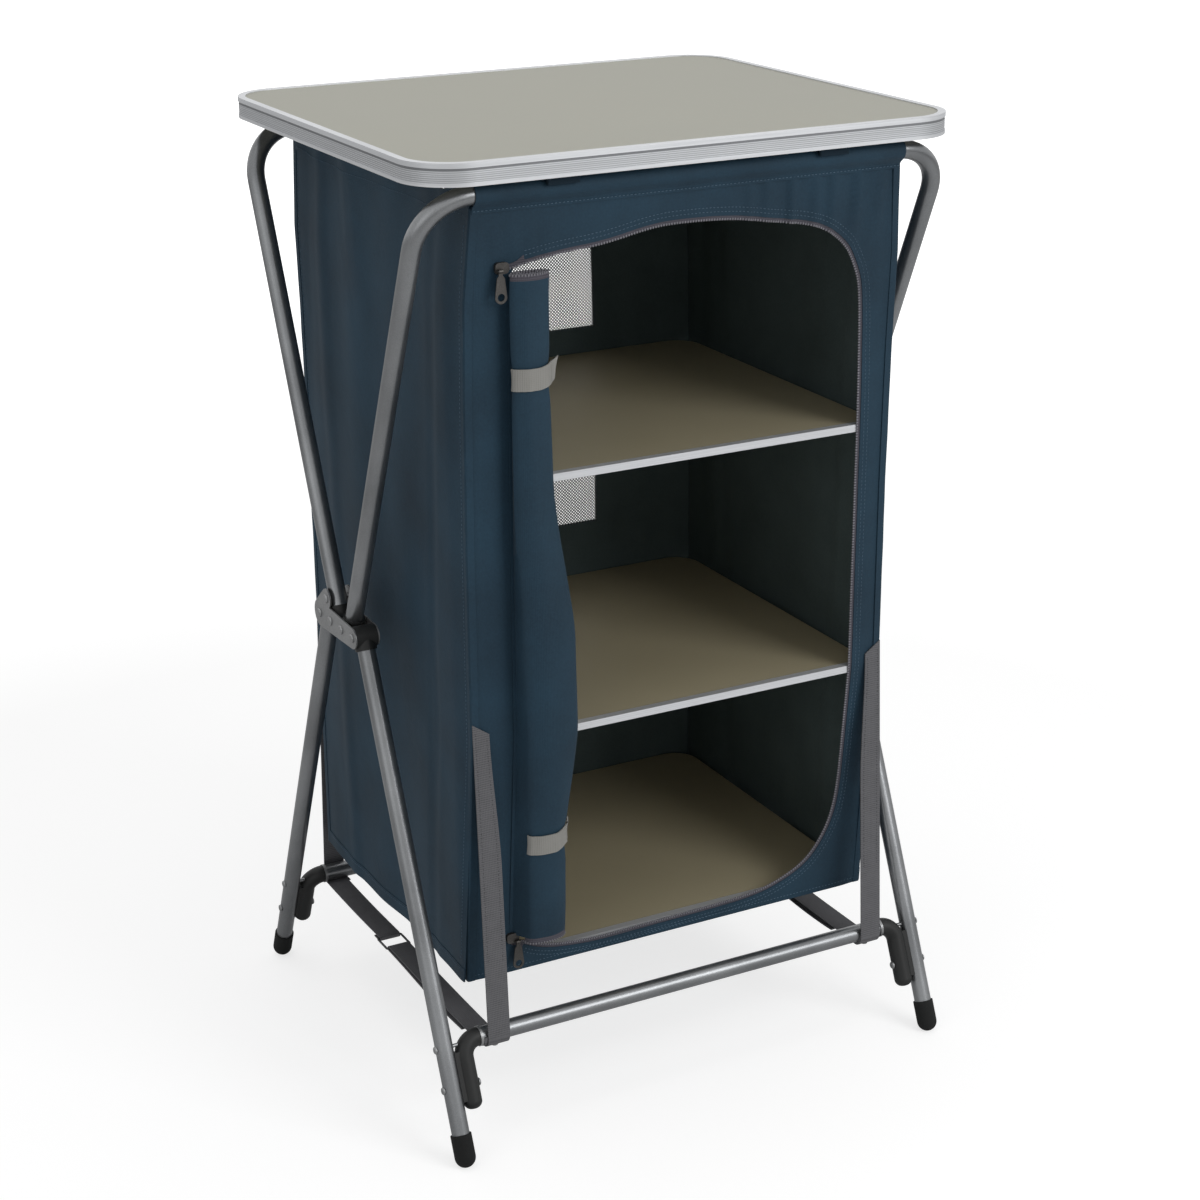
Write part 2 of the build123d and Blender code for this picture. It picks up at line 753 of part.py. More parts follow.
def roll_body(growth):
    """Rolled door along the left edge of its opening, drawn in where it is tied."""
    sections = []
    for z, x, half_width, half_depth in roll_sections:
        y = wall_face_y(z) + roll_flattening - half_depth
        plane = Plane(origin=(x, y, z), x_dir=(1, 0, 0), z_dir=(0, 0, 1))
        sections.append(plane * Ellipse(half_width + growth, half_depth + growth))
    return loft(sections) - wall_layer("front", -roll_room, cloth_thickness + fit_clearance)


def door_tie(height):
    """Light band round the rolled door."""
    band = roll_body(fit_clearance + tie_thickness) - roll_body(fit_clearance)
    return band & Pos(0, 0, height) * Box(table_width, 2 * table_depth, tie_width)


def slider_front_y(name):
    """Front face of a zip slider, which lies on the wall and the zip tape."""
    height = slider_points[name][1]
    reach = max(wall_reach(height + end * slider_width / 2) for end in (-1, 1))
    return -reach - zip_thickness - running_clearance - slider_depth


def pull_pin_point(name):
    """Middle of the bail that carries a zip pull."""
    x, z = slider_points[name]
    shift_x, shift_z = slider_pin_shift[name]
    return x + shift_x, slider_front_y(name) - pull_eye_radius - fit_clearance, z + shift_z


def slider(name):
    """Cast zip slider with the bail that carries its pull."""
    x, z = slider_points[name]
    front = slider_front_y(name)
    body = Pos(x, front + slider_depth / 2, z) * Box(slider_length, slider_depth, slider_width)
    body = fillet(body.edges().filter_by(Axis.Y), slider_corner_radius)
    pin_x, pin_y, pin_z = pull_pin_point(name)
    eye_half = pull_top_width / 4
    reach = eye_half + slider_ear_width
    bail = cross_rod(pin_y, pin_z, pin_x - reach, pin_x + reach, pull_pin_radius)
    ear_length = front - pin_y + pull_pin_radius + fit_clearance
    for end in (-1, 1):
        ear = Box(slider_ear_width, ear_length, 2 * pull_pin_radius)
        ear_y = pin_y - pull_pin_radius + ear_length / 2
        ear_x = pin_x + end * (eye_half + slider_ear_width / 2 + running_clearance)
        bail += Pos(ear_x, ear_y, pin_z) * ear
    return body + bail


def pull(name):
    """Tapered zip pull with a round hole, hung on the slider's bail."""
    pin_x, pin_y, pin_z = pull_pin_point(name)
    eye_half = pull_top_width / 4
    top = -2 * pull_eye_radius - pull_top_width / 2
    hole = -pull_length
    blade = Pos(0, top) * Circle(pull_top_width / 2) + Pos(0, hole) * Circle(pull_bottom_width / 2)
    outline = make_hull(blade.edges()) - Pos(0, hole) * Circle(pull_hole_radius)
    outline += Pos(0, top / 2) * Rectangle(2 * eye_half, -top)
    plane = Plane(origin=(pin_x, pin_y, pin_z), x_dir=(1, 0, 0), z_dir=(0, -1, 0))
    tab = extrude(plane * outline, pull_thickness / 2, both=True)
    tab += cross_rod(pin_y, pin_z, pin_x - eye_half, pin_x + eye_half, pull_eye_radius)
    bore = pull_pin_radius + running_clearance
    return tab - cross_rod(pin_y, pin_z, pin_x - pull_top_width, pin_x + pull_top_width, bore)


def bent_strip(face, x_low, x_high):
    """Webbing with the side view of a (y, z) face, between two places along X."""
    plane = Plane(origin=(x_low, 0, 0), x_dir=(0, 1, 0), z_dir=(1, 0, 0))
    return extrude(plane * face, x_high - x_low)


def wrap_face(centre, inner, outer, start_deg, end_deg):
    """Ring sector in the (y, z) plane between two angles less than 180 degrees apart."""
    ring = Circle(outer) - Circle(inner)
    reach = 4 * outer
    corners = [(0, 0)]
    for share in (0, 0.5, 1):
        turn = math.radians(start_deg + share * (end_deg - start_deg))
        corners.append((reach * math.cos(turn), reach * math.sin(turn)))
    return Pos(*centre) * (ring & make_face(Polyline(*corners, close=True)))


def upright_web(side, x_side):
    """Webbing from the wall at the middle shelf down to a crossbar, screwed underneath."""
    x_low = x_side * upright_web_x - web_width / 2
    x_high = x_low + web_width
    bar = (side * crossbar_y, crossbar_height)
    top = web_top_height + web_top_slant / 2
    wall_y = side * (wall_reach(wall_knee_height) + cloth_thickness + fit_clearance)
    near = bar[0] + side * over_web_inner
    run = make_face(Polyline(
        (wall_y, top), (near, bar[1]), (near + side * web_thickness, bar[1]),
        (wall_y + side * web_thickness, top), close=True,
    ))
    around = (180.0, 270.0) if side < 0 else (270.0, 360.0)
    under = Pos(bar[0] - side * web_screw_margin / 2, bar[1] - over_web_inner - web_thickness / 2)
    face = run + wrap_face(bar, over_web_inner, over_web_outer, *around)
    face += under * Rectangle(web_screw_margin, web_thickness)
    web = bent_strip(face, x_low, x_high)
    tilt = x_side * web_top_slant / 2
    slant = make_face(Polyline(
        (x_low, web_top_height - tilt), (x_low, 2 * top), (x_high, 2 * top), (x_high, web_top_height + tilt),
        close=True,
    ))
    web -= extrude(Plane.XZ * slant, table_depth, both=True)
    x = x_side * upright_web_x
    return web - rod((x, bar[0], 0), (x, *bar), screw_radius)


def tension_web(side, x_side):
    """Webbing from under one crossbar to the slide buckle; the front one ends in a loose tail."""
    x_low = tension_web_x[(x_side + 1) // 2] - web_width / 2
    x_high = x_low + web_width
    bar = (side * crossbar_y, crossbar_height)
    high = crossbar_height - web_inner
    low = high - web_thickness
    fold_y = buckle_y + side * (buckle_length / 2 - buckle_bar / 2)
    fold_inner = buckle_bar / 2 + fit_clearance
    fold_outer = fold_inner + web_thickness
    fold_z = low - fold_inner
    tail_y = tension_tail_inset - crossbar_y if side < 0 else fold_y + tension_fold_length
    tail_low = fold_z - fold_outer
    run_low, run_high = sorted((bar[0], fold_y))
    main_run = Pos((run_low + run_high) / 2, (low + high) / 2) * Rectangle(run_high - run_low, web_thickness)
    tail_start, tail_end = sorted((fold_y, tail_y))
    tail = Pos((tail_start + tail_end) / 2, tail_low + web_thickness / 2) * Rectangle(
        tail_end - tail_start, web_thickness
    )
    fold = (-90.0, 90.0) if side < 0 else (90.0, 270.0)
    start, end = (180.0 - tension_wrap_rise, 270.0) if side < 0 else (270.0, 360.0 + tension_wrap_rise)
    face = main_run + tail + wrap_face(bar, web_inner, web_outer, start, end)
    half = (fold[1] - fold[0]) / 2
    face += wrap_face((fold_y, fold_z), fold_inner, fold_outer, fold[0], fold[0] + half)
    face += wrap_face((fold_y, fold_z), fold_inner, fold_outer, fold[0] + half, fold[1])
    web = bent_strip(face, x_low, x_high)
    x = x_side * upright_web_x
    return web - rod((x, bar[0], 0), (x, *bar), screw_radius)


def buckles():
    """Wire slide buckles that join the two pieces of each tension webbing."""
    fold_inner = buckle_bar / 2 + fit_clearance
    z = crossbar_height - web_outer - fold_inner
    half_x = web_width / 2 + fit_clearance + buckle_bar / 2
    half_y = buckle_length / 2 - buckle_bar / 2
    wires = []
    for x in tension_web_x:
        frame = Pos(x, buckle_y, z) * RectangleRounded(2 * half_x, 2 * half_y, buckle_corner_radius)
        loop = frame.face().outer_wire()
        wires.append(sweep(Plane(origin=loop @ 0, z_dir=loop % 0) * Circle(buckle_bar / 2), path=loop))
    return Compound(children=wires)


def pair(make, *args):
    """Left and right copy of a piece in one node."""
    return Compound(children=[make(*args, x_side) for x_side in (-1, 1)])


def frame_nodes():
    """Tubes, fittings and webbing of the front and the rear of the frame."""
    nodes = {}
    for name, side in (("front", -1), ("rear", 1)):
        nodes[f"{name}_upper_tube"] = upper_frame(side)
        nodes[f"{name}_sleeve"] = sleeve(side)
        nodes[f"{name}_crossbar"] = crossbar(side)
        nodes[f"{name}_bar_ferrules"] = ferrules(side)
        nodes[f"{name}_elbow_screws"] = elbow_screws(side)
        nodes[f"{name}_strap_screws"] = strap_screws(side)
        nodes[f"{name}_feet"] = foot_caps(side)
        nodes[f"{name}_upright_webs"] = pair(upright_web, side)
        nodes[f"{name}_tension_webs"] = pair(tension_web, side)
        for hand, x_side in (("left", -1), ("right", 1)):
            nodes[f"{name}_leg_{hand}"] = lower_leg(side, x_side)
            nodes[f"{name}_elbow_{hand}"] = elbow(side, x_side)
        upper = [knuckle(side * upper_pivot_y, side, 1, x_side, side > 0) for x_side in (-1, 1)]
        lower = [knuckle(side * lower_pivot_y, side, -1, x_side, side < 0) for x_side in (-1, 1)]
        nodes[f"{name}_upper_knuckles"] = Compound(children=upper)
        nodes[f"{name}_leg_knuckles"] = Compound(children=lower)
    nodes["hub_rivets"] = hub_rivets()
    for hand, x_side in (("left", -1), ("right", 1)):
        nodes[f"hub_plates_{hand}"] = hub_plates(x_side)
    nodes["tension_buckles"] = buckles()
    return nodes


def cabinet_nodes():
    """Cloth walls, door, nets and shelves."""
    nodes = {
        "left_wall": side_wall(-1),
        "right_wall": side_wall(1),
        "front_panel": front_panel(),
        "back_panel": back_panel(),
        "floor_panel": floor_panel(),
        "zip_track": zip_track(),
        "door_roll": roll_body(0.0),
        "door_ties": Compound(children=[door_tie(height) for height in tie_heights.values()]),
        "net_upper": net_window(net_upper),
        "net_lower": net_window(net_lower),
    }
    for name in slider_points:
        nodes[f"zip_slider_{name}"] = slider(name)
        nodes[f"zip_pull_{name}"] = pull(name)
    ledges = []
    for name, height in shelf_heights.items():
        nodes[f"shelf_{name}"] = shelf_board(height)
        nodes[f"shelf_{name}_trim"] = shelf_trim(height)
        ledges.extend(shelf_ledges(height).children)
    nodes["shelf_ledges"] = Compound(children=ledges)
    return nodes


def table_nodes():
    """Table top, its rim and its clips."""
    return {
        "table_board": table_board(),
        "table_rim": table_rim(),
        "table_clips": table_clips(),
        "clip_screws": clip_screws(),
    }


def main():
    """Write one STEP file for each sub-part."""
    os.makedirs("parts", exist_ok=True)
    for name, shape in {**frame_nodes(), **cabinet_nodes(), **table_nodes()}.items():
        export_step(shape, f"parts/{name}.step")
        print(name)


main()
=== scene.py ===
"""Camping kitchen unit, dressed: cloth, nets, zips, webbing and finishes over its frame.

Metres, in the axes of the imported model: X runs along the front, the front faces -Y, Z is up
and the floor is at Z 0.
"""

import json
import logging
import math
from dataclasses import dataclass
from enum import Enum
from functools import partial
from typing import Any, Callable, Sequence

import bmesh
import bpy
from mathutils import Matrix, Vector
from mathutils.noise import noise

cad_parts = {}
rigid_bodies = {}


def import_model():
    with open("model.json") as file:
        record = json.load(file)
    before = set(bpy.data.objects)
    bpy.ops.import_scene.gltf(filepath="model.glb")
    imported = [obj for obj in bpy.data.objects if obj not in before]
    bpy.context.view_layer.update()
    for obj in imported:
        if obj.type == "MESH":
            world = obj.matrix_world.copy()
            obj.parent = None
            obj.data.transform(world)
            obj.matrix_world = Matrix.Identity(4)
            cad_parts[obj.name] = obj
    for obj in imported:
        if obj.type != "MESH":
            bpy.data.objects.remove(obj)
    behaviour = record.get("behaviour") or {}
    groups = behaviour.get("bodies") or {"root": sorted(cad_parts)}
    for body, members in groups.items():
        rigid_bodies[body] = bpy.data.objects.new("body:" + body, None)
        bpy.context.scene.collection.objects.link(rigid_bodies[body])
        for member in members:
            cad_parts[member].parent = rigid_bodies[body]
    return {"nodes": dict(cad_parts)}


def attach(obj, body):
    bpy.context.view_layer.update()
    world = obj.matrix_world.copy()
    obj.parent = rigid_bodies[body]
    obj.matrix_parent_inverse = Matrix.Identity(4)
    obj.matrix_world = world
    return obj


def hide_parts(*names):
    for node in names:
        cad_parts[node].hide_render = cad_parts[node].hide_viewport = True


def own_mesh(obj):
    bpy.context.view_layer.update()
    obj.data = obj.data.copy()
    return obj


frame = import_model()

LOG = logging.getLogger("kitchen_unit")
Piece, Material, Mesh = bpy.types.Object, bpy.types.Material, bpy.types.Mesh
Tree, Node, Socket = bpy.types.NodeTree, bpy.types.Node, bpy.types.NodeSocket
Points = list[Vector]
Inputs = dict[str | int, Any]


# Small helpers for meshes


def spread(low: float, high: float, count: int) -> list[float]:
    """Evenly spaced numbers from low to high, both included."""
    return [low + (high - low) * n / (count - 1) for n in range(count)]


def fade(value: float, start: float, end: float) -> float:
    """Smooth step from 0 at start to 1 at end."""
    share = min(max((value - start) / (end - start), 0.0), 1.0)
    return share * share * (3.0 - 2.0 * share)


def hump(value: float, centre: float, reach: float) -> float:
    """Smooth bump of height 1 at centre that has gone at reach to either side."""
    return 1.0 - fade(abs(value - centre), 0.0, reach)


def flat(places: Sequence[tuple[float, float]]) -> Points:
    """Points in a wall's own plane, their X and Z in each vector's first two numbers."""
    return [Vector((x, z, 0.0)) for x, z in places]


def rounded(points: Points, rounds: int = 3) -> Points:
    """Cuts the corners of an open line until it runs smoothly, with its two ends kept.

    Args:
        points: Corners of the line.
        rounds: How often every corner is cut.

    Returns:
        The points of the smooth line.
    """
    for _ in range(rounds):
        cut = [points[0]]
        for a, b in zip(points, points[1:]):
            cut += [a.lerp(b, 0.25), a.lerp(b, 0.75)]
        points = [*cut, points[-1]]
    return points


def evened(points: Points, count: int) -> Points:
    """Spaces points evenly along a line.

    Args:
        points: The line.
        count: How many points are wanted.

    Returns:
        That many points, from the line's start to its end.
    """
    walked = [0.0]
    for a, b in zip(points, points[1:]):
        walked.append(walked[-1] + (b - a).length)
    result, leg = [], 0
    for target in spread(0.0, walked[-1], count):
        while leg < len(points) - 2 and walked[leg + 1] < target:
            leg += 1
        share = (target - walked[leg]) / max(walked[leg + 1] - walked[leg], 1e-12)
        result.append(points[leg].lerp(points[leg + 1], min(share, 1.0)))
    return result


def length_of(points: Points) -> float:
    """Length of a line of points."""
    return sum((b - a).length for a, b in zip(points, points[1:]))


def grid_faces(rows: int, columns: int, closed: bool = False) -> list[tuple[int, ...]]:
    """Faces of a grid whose points are stored row after row.

    Args:
        rows: Number of rows.
        columns: Points in each row.
        closed: Whether each row's end joins its start.

    Returns:
        The corners of each four-sided face.
    """
    faces = []
    for row in range(rows - 1):
        here, above = row * columns, (row + 1) * columns
        for column in range(columns if closed else columns - 1):
            after = (column + 1) % columns
            faces.append((here + column, here + after, above + after, above + column))
    return faces


def make_piece(name: str, points: Points, faces: Sequence[tuple[int, ...]], finish: Material) -> Piece:
    """Makes a mesh object.

    Args:
        name: Name of the piece.
        points: Its points.
        faces: The corners of each face.
        finish: Its material.

    Returns:
        The new object, linked to the scene.
    """
    mesh = bpy.data.meshes.new(name)
    mesh.from_pydata([tuple(point) for point in points], [], faces)
    mesh.materials.append(finish)
    mesh.update()
    piece = bpy.data.objects.new(name, mesh)
    bpy.context.scene.collection.objects.link(piece)
    return piece


def select_only(piece: Piece) -> None:
    """Makes one object the only one that operators act on.

    Args:
        piece: The object.
    """
    bpy.ops.object.select_all(action="DESELECT")
    piece.select_set(True)
    bpy.context.view_layer.objects.active = piece


def apply_modifier(piece: Piece, kind: str, **settings: Any) -> None:
    """Adds a modifier to a piece and applies it.

    Args:
        piece: The object.
        kind: Blender's name for the modifier's type.
        settings: Its settings.
    """
    select_only(piece)
    modifier = piece.modifiers.new(kind, kind)
    for name, value in settings.items():
        setattr(modifier, name, value)
    bpy.ops.object.modifier_apply(modifier=modifier.name)


def smooth(piece: Piece, degrees: float = 42.0) -> None:
    """Shades a piece smoothly, with edges sharper than an angle left crisp.

    Args:
        piece: The object.
        degrees: The angle.
    """
    select_only(piece)
    bpy.ops.object.shade_smooth_by_angle(angle=math.radians(degrees))
    piece.select_set(False)


def make_sheet(
    name: str, rows: Sequence[Points], thickness: float, finish: Material, closed: bool = False
) -> Piece:
    """Makes a sheet from rows of points and gives it its thickness.

    Args:
        name: Name of the piece.
        rows: Rows of points, all with the same count.
        thickness: Thickness of the sheet, half to each side.
        finish: Its material.
        closed: Whether each row closes on itself.

    Returns:
        The finished piece.
    """
    points = [point for row in rows for point in row]
    piece = make_piece(name, points, grid_faces(len(rows), len(rows[0]), closed), finish)
    apply_modifier(piece, "SOLIDIFY", thickness=thickness, offset=0.0, use_even_offset=True)
    smooth(piece)
    return piece


def line_inside(piece: Piece, inwards: Vector, finish: Material) -> None:
    """Gives the faces of a wall that look into the cabinet their own finish.

    Args:
        piece: The wall.
        inwards: Direction into the cabinet.
        finish: Material of those faces.
    """
    piece.data.materials.append(finish)
    for polygon in piece.data.polygons:
        if polygon.normal.dot(inwards) > 0.5:
            polygon.material_index = 1


def joined(pieces: Sequence[Piece], name: str) -> Piece:
    """Joins several meshes into one piece.

    Args:
        pieces: The meshes.
        name: Name of the piece.

    Returns:
        The piece.
    """
    select_only(pieces[0])
    for piece in pieces:
        piece.select_set(True)
    bpy.ops.object.join()
    pieces[0].name = pieces[0].data.name = name
    pieces[0].select_set(False)
    return pieces[0]


def copies(name: str, pattern: Mesh, places: Sequence[Matrix], finish: Material) -> Piece:
    """Sets copies of one small mesh at many places, as one piece.

    Args:
        name: Name of the piece.
        pattern: The mesh that repeats.
        places: A matrix for each copy.
        finish: Material of the copies.

    Returns:
        The piece.
    """
    corners = [vertex.co.copy() for vertex in pattern.vertices]
    sides = [tuple(polygon.vertices) for polygon in pattern.polygons]
    points, faces = [], []
    for place in places:
        start = len(points)
        points += [place @ corner for corner in corners]
        faces += [tuple(start + n for n in side) for side in sides]
    piece = make_piece(name, points, faces, finish)
    smooth(piece)
    return piece


def basis(place: Vector, along: Vector, out: Vector) -> Matrix:
    """Matrix whose X runs along a line and whose Z points out of the surface.

    Args:
        place: Its origin.
        along: Direction of the line.
        out: Direction out of the surface.

    Returns:
        The matrix.
    """
    x = along.normalized()
    y = out.cross(x).normalized()
    matrix = Matrix((x, y, x.cross(y))).transposed().to_4x4()
    matrix.translation = place
    return matrix


def settle(piece: Piece, slot: str, body: str, *nodes: str) -> None:
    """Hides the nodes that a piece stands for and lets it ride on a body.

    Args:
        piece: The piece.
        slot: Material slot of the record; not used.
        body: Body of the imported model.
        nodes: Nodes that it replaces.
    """
    if nodes:
        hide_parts(*nodes)
    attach(piece, body)


# Finishes


def linear(colour: str) -> tuple[float, float, float, float]:
    """Linear colour of an sRGB hex value such as #8899aa.

    Args:
        colour: The hex value.

    Returns:
        Red, green, blue and alpha.
    """
    parts = [int(colour[n : n + 2], 16) / 255.0 for n in (1, 3, 5)]
    red, green, blue = (p / 12.92 if p <= 0.04045 else ((p + 0.055) / 1.055) ** 2.4 for p in parts)
    return red, green, blue, 1.0


def feed(tree: Tree, node: Node, inputs: Inputs) -> None:
    """Fills sockets of a node, each with a value or with a link from another node's output.

    Args:
        tree: The node tree.
        node: The node.
        inputs: The value or output of each socket.
    """
    for key, value in inputs.items():
        if isinstance(value, Socket):
            tree.links.new(value, node.inputs[key])
        else:
            node.inputs[key].default_value = value


def add_node(
    tree: Tree, kind: str, inputs: Inputs | None = None, out: str | int = 0, **settings: Any
) -> Socket | None:
    """Adds a shader node.

    Args:
        tree: The node tree.
        kind: Blender's name for the node's type, without its ShaderNode.
        inputs: A value for a socket, or the output that it is linked from.
        out: Which of its outputs is wanted.
        settings: The node's own settings; stops gives a colour ramp's places and colours.

    Returns:
        That output, or None for a node that ends the tree.
    """
    node = tree.nodes.new(f"ShaderNode{kind}")
    for name, value in settings.items():
        if name == "stops":
            ramp = node.color_ramp
            while len(ramp.elements) < len(value):
                ramp.elements.new(1.0)
            for element, (place, colour) in zip(ramp.elements, value):
                element.position, element.color = place, linear(colour)
        else:
            setattr(node, name, value)
    feed(tree, node, inputs or {})
    return node.outputs[out] if node.outputs else None


def wave_scale(period: float) -> float:
    """Scale of a wave texture whose bands are that many metres apart."""
    return 0.31416 / period


class Lie(Enum):
    """How a cloth lies: the two axes that its warp and weft run along."""

    FRONT = ("X", "Z")
    SIDE = ("Y", "Z")
    LEVEL = ("X", "Y")


@dataclass(frozen=True)
class Finish:
    """A surface: its name, colours and gloss.

    Attributes:
        name: Name of the material.
        colour: Main colour, sRGB hex.
        light: Colour of its paler places.
        dark: Colour of its darker places.
        roughness: Roughness of its gloss.
        metallic: 1 for bare metal, less under a lacquer.
        specular: Level of its gloss.
    """

    name: str
    colour: str
    light: str
    dark: str
    roughness: float
    metallic: float = 0.0
    specular: float = 0.5

    def make(self) -> Material:
        """Makes the material with its surface detail.

        Returns:
            The material.
        """
        material = bpy.data.materials.new(self.name)
        material.use_nodes = True
        tree = material.node_tree
        shader = tree.nodes["Principled BSDF"]
        feed(tree, shader, {
            "Base Color": linear(self.colour), "Roughness": self.roughness, "Metallic": self.metallic,
            "Specular IOR Level": self.specular,
        })
        add = partial(add_node, tree)
        feed(tree, shader, self.dress(add, add("TexCoord", out="Object")))
        return material

    def dress(self, add: Callable[..., Socket], place: Socket) -> Inputs:
        """Adds the detail of the surface; each finish has its own.

        Args:
            add: Adds a node to the material.
            place: The place on the piece, in Object coordinates.

        Returns:
            What the shader's sockets take.
        """
        raise NotImplementedError


@dataclass(frozen=True)
class CoatedPolyester(Finish):
    """Plain-woven polyester with a thin coating inside.

    To the eye: dull, dark and even, with a faint thread pattern, a soft sheen at grazing angles and
    small cloudy changes of shade where the coating lies thicker.

    Attributes:
        lie: How the cloth lies.
    """

    lie: Lie = Lie.FRONT

    def dress(self, add: Callable[..., Socket], place: Socket) -> Inputs:
        """Adds the weave, the cloudy shade and fine crumples."""
        cloud = add("TexNoise", {"Vector": place, "Scale": 11.0, "Detail": 4.0})
        thread = add("TexNoise", {"Vector": place, "Scale": 420.0, "Detail": 1.0})
        shade = add("Math", {0: thread, 1: 0.35, 2: cloud}, operation="MULTIPLY_ADD")
        colour = add("ValToRGB", {"Fac": shade}, stops=((0.4, self.dark), (0.96, self.light)))
        # threads of 0.4 mm are too fine for a render of the whole unit: drawn 1.6 mm apart
        warp, weft = (
            add("TexWave", {"Vector": place, "Scale": wave_scale(0.0016)}, out="Fac", bands_direction=axis)
            for axis in self.lie.value
        )
        weave = add("Math", {0: warp, 1: weft}, operation="MULTIPLY")
        crumple = add("TexNoise", {"Vector": place, "Scale": 38.0, "Detail": 3.0, "Distortion": 0.6})
        woven = add("Bump", {"Strength": 0.22, "Distance": 0.0004, "Height": weave})
        crumpled = add("Bump", {"Strength": 0.25, "Distance": 0.0016, "Height": crumple, "Normal": woven})
        return {"Base Color": colour, "Normal": crumpled, "Sheen Weight": 0.03, "Sheen Roughness": 0.45}


@dataclass(frozen=True)
class RibbedTape(Finish):
    """Woven polypropylene webbing or tape.

    To the eye: matt, with ribs straight across it; the groove between two ribs is painted slightly darker, as
    shade.

    Attributes:
        lie: Along which axes the tape and its ribs lie.
        rib: Distance between two ribs.
        cross: Index of the lie's axis that the ribs follow one another along.
        relief: Strength of the ribs' relief.
    """

    lie: Lie = Lie.FRONT
    rib: float = 0.0024
    cross: int = 1
    relief: float = 0.5

    def dress(self, add: Callable[..., Socket], place: Socket) -> Inputs:
        """Adds the ribs and the threads along them, with painted shade in the grooves."""
        axes = self.lie.value
        ribs = add(
            "TexWave", {"Vector": place, "Scale": wave_scale(self.rib), "Distortion": 0.8}, out="Fac",
            bands_direction=axes[self.cross],
        )
        ends = add(
            "TexWave", {"Vector": place, "Scale": wave_scale(0.0018)}, out="Fac",
            bands_direction=axes[1 - self.cross],
        )
        both = add("Math", {0: ends, 1: 0.4, 2: ribs}, operation="MULTIPLY_ADD")
        fuzz = add("TexNoise", {"Vector": place, "Scale": 90.0, "Detail": 4.0})
        shade = add("Math", {0: fuzz, 1: 0.8, 2: both}, operation="MULTIPLY_ADD")
        # colour follows the threads' and ribs' height: thread pattern, with painted shade in the grooves
        colour = add("ValToRGB", {"Fac": shade}, stops=((0.35, self.dark), (1.0, self.light)))
        bump = add("Bump", {"Strength": self.relief, "Distance": 0.0004, "Height": both})
        return {"Base Color": colour, "Normal": bump}


@dataclass(frozen=True)
class DrawnMetal(Finish):
    """Extruded aluminium, brushed and anodised clear.

    To the eye: pale, silky, with fine lines along the profile and a faint cast of grey.
    """

    def dress(self, add: Callable[..., Socket], place: Socket) -> Inputs:
        """Adds lines that are long along the profile and 0.6 mm apart up its height."""
        stretched = add("Mapping", {"Vector": place, "Scale": (6.0, 6.0, 1600.0)})
        lines = add("TexNoise", {"Vector": stretched, "Scale": 1.0, "Detail": 2.0})
        colour = add("ValToRGB", {"Fac": lines}, stops=((0.35, self.dark), (0.65, self.light)))
        bump = add("Bump", {"Strength": 0.05, "Distance": 0.0003, "Height": lines})
        return {"Base Color": colour, "Normal": bump}


@dataclass(frozen=True)
class RibbedEdge(DrawnMetal):
    """Drawn metal of the table's edge, with painted shade in its groove and between its ribs.

    Attributes:
        bottom: Height of the edge's underside.
        height: Height of the edge.
        bead: Height of the plain bead at its foot.
        pitch: Distance between two ribs.
        ribs: Number of ribs.
        groove: Height of the groove above the ribs.
        clear: Colour where no shade is painted.
        valley: Painted shade between the ribs.
        deep: Painted shade in the groove.
    """

    bottom: float = 1.018
    height: float = 0.022
    bead: float = 0.0035
    pitch: float = 0.00185
    ribs: int = 6
    groove: float = 0.0026
    clear: str = "#ffffff"
    valley: str = "#bebfc0"
    deep: str = "#9a9b9c"

    def painted_shade_stops(self) -> list[tuple[float, str]]:
        """Painted shade up the edge, darkest in the groove and between the ribs, each at its share of the
        height.

        Returns:
            Places and colours of a colour ramp.
        """
        stops = [(self.bead, self.clear)]
        for rib in range(self.ribs):
            for step, shade in ((0.25, self.valley), (0.75, self.clear)):
                stops.append((self.bead + (rib + step) * self.pitch, shade))
        start = self.bead + self.ribs * self.pitch
        end = start + self.groove
        stops += [(start + 0.0003, self.deep), (end - 0.0006, self.deep), (end, self.clear)]
        return [(place / self.height, shade) for place, shade in stops]

    def dress(self, add: Callable[..., Socket], place: Socket) -> Inputs:
        """Adds the drawn lines, then paints shade into the hollows by their height."""
        sockets = super().dress(add, place)
        top = self.bottom + self.height
        height = add("SeparateXYZ", {0: place}, out="Z")
        share = add("MapRange", {"Value": height, "From Min": self.bottom, "From Max": top})
        # painted shade: the groove and the valleys between the ribs are darkened by their height
        painted_hollow_shade = add("ValToRGB", {"Fac": share}, stops=self.painted_shade_stops())
        mixed = add(
            "MixRGB", {"Fac": 1.0, "Color1": sockets["Base Color"], "Color2": painted_hollow_shade}, blend_type="MULTIPLY"
        )
        return {**sockets, "Base Color": mixed}


@dataclass(frozen=True)
class SpeckledCoat(Finish):
    """Sprayed, moulded or laminated surface with a fine grain.

    To the eye: one colour with small cloudy changes, and a grain that breaks up its gloss.

    Attributes:
        grain: Size of the grain.
        relief: Height of the grain.
        cloud: Size of the cloudy changes.
    """

    grain: float = 0.0012
    relief: float = 0.00012
    cloud: float = 0.09

    def dress(self, add: Callable[..., Socket], place: Socket) -> Inputs:
        """Adds the grain and the clouds."""
        grain = add("TexNoise", {"Vector": place, "Scale": 1.0 / self.grain, "Detail": 2.0, "Roughness": 0.6})
        cloud = add("TexNoise", {"Vector": place, "Scale": 1.0 / self.cloud, "Detail": 3.0})
        shade = add("Math", {0: grain, 1: 0.6, 2: cloud}, operation="MULTIPLY_ADD")
        colour = add("ValToRGB", {"Fac": shade}, stops=((0.55, self.dark), (1.0, self.light)))
        low, high = self.roughness - 0.05, self.roughness + 0.07
        rough = add("MapRange", {"Value": cloud, "To Min": low, "To Max": high})
        bump = add("Bump", {"Strength": 0.4, "Distance": self.relief, "Height": grain})
        return {"Base Color": colour, "Roughness": rough, "Normal": bump}


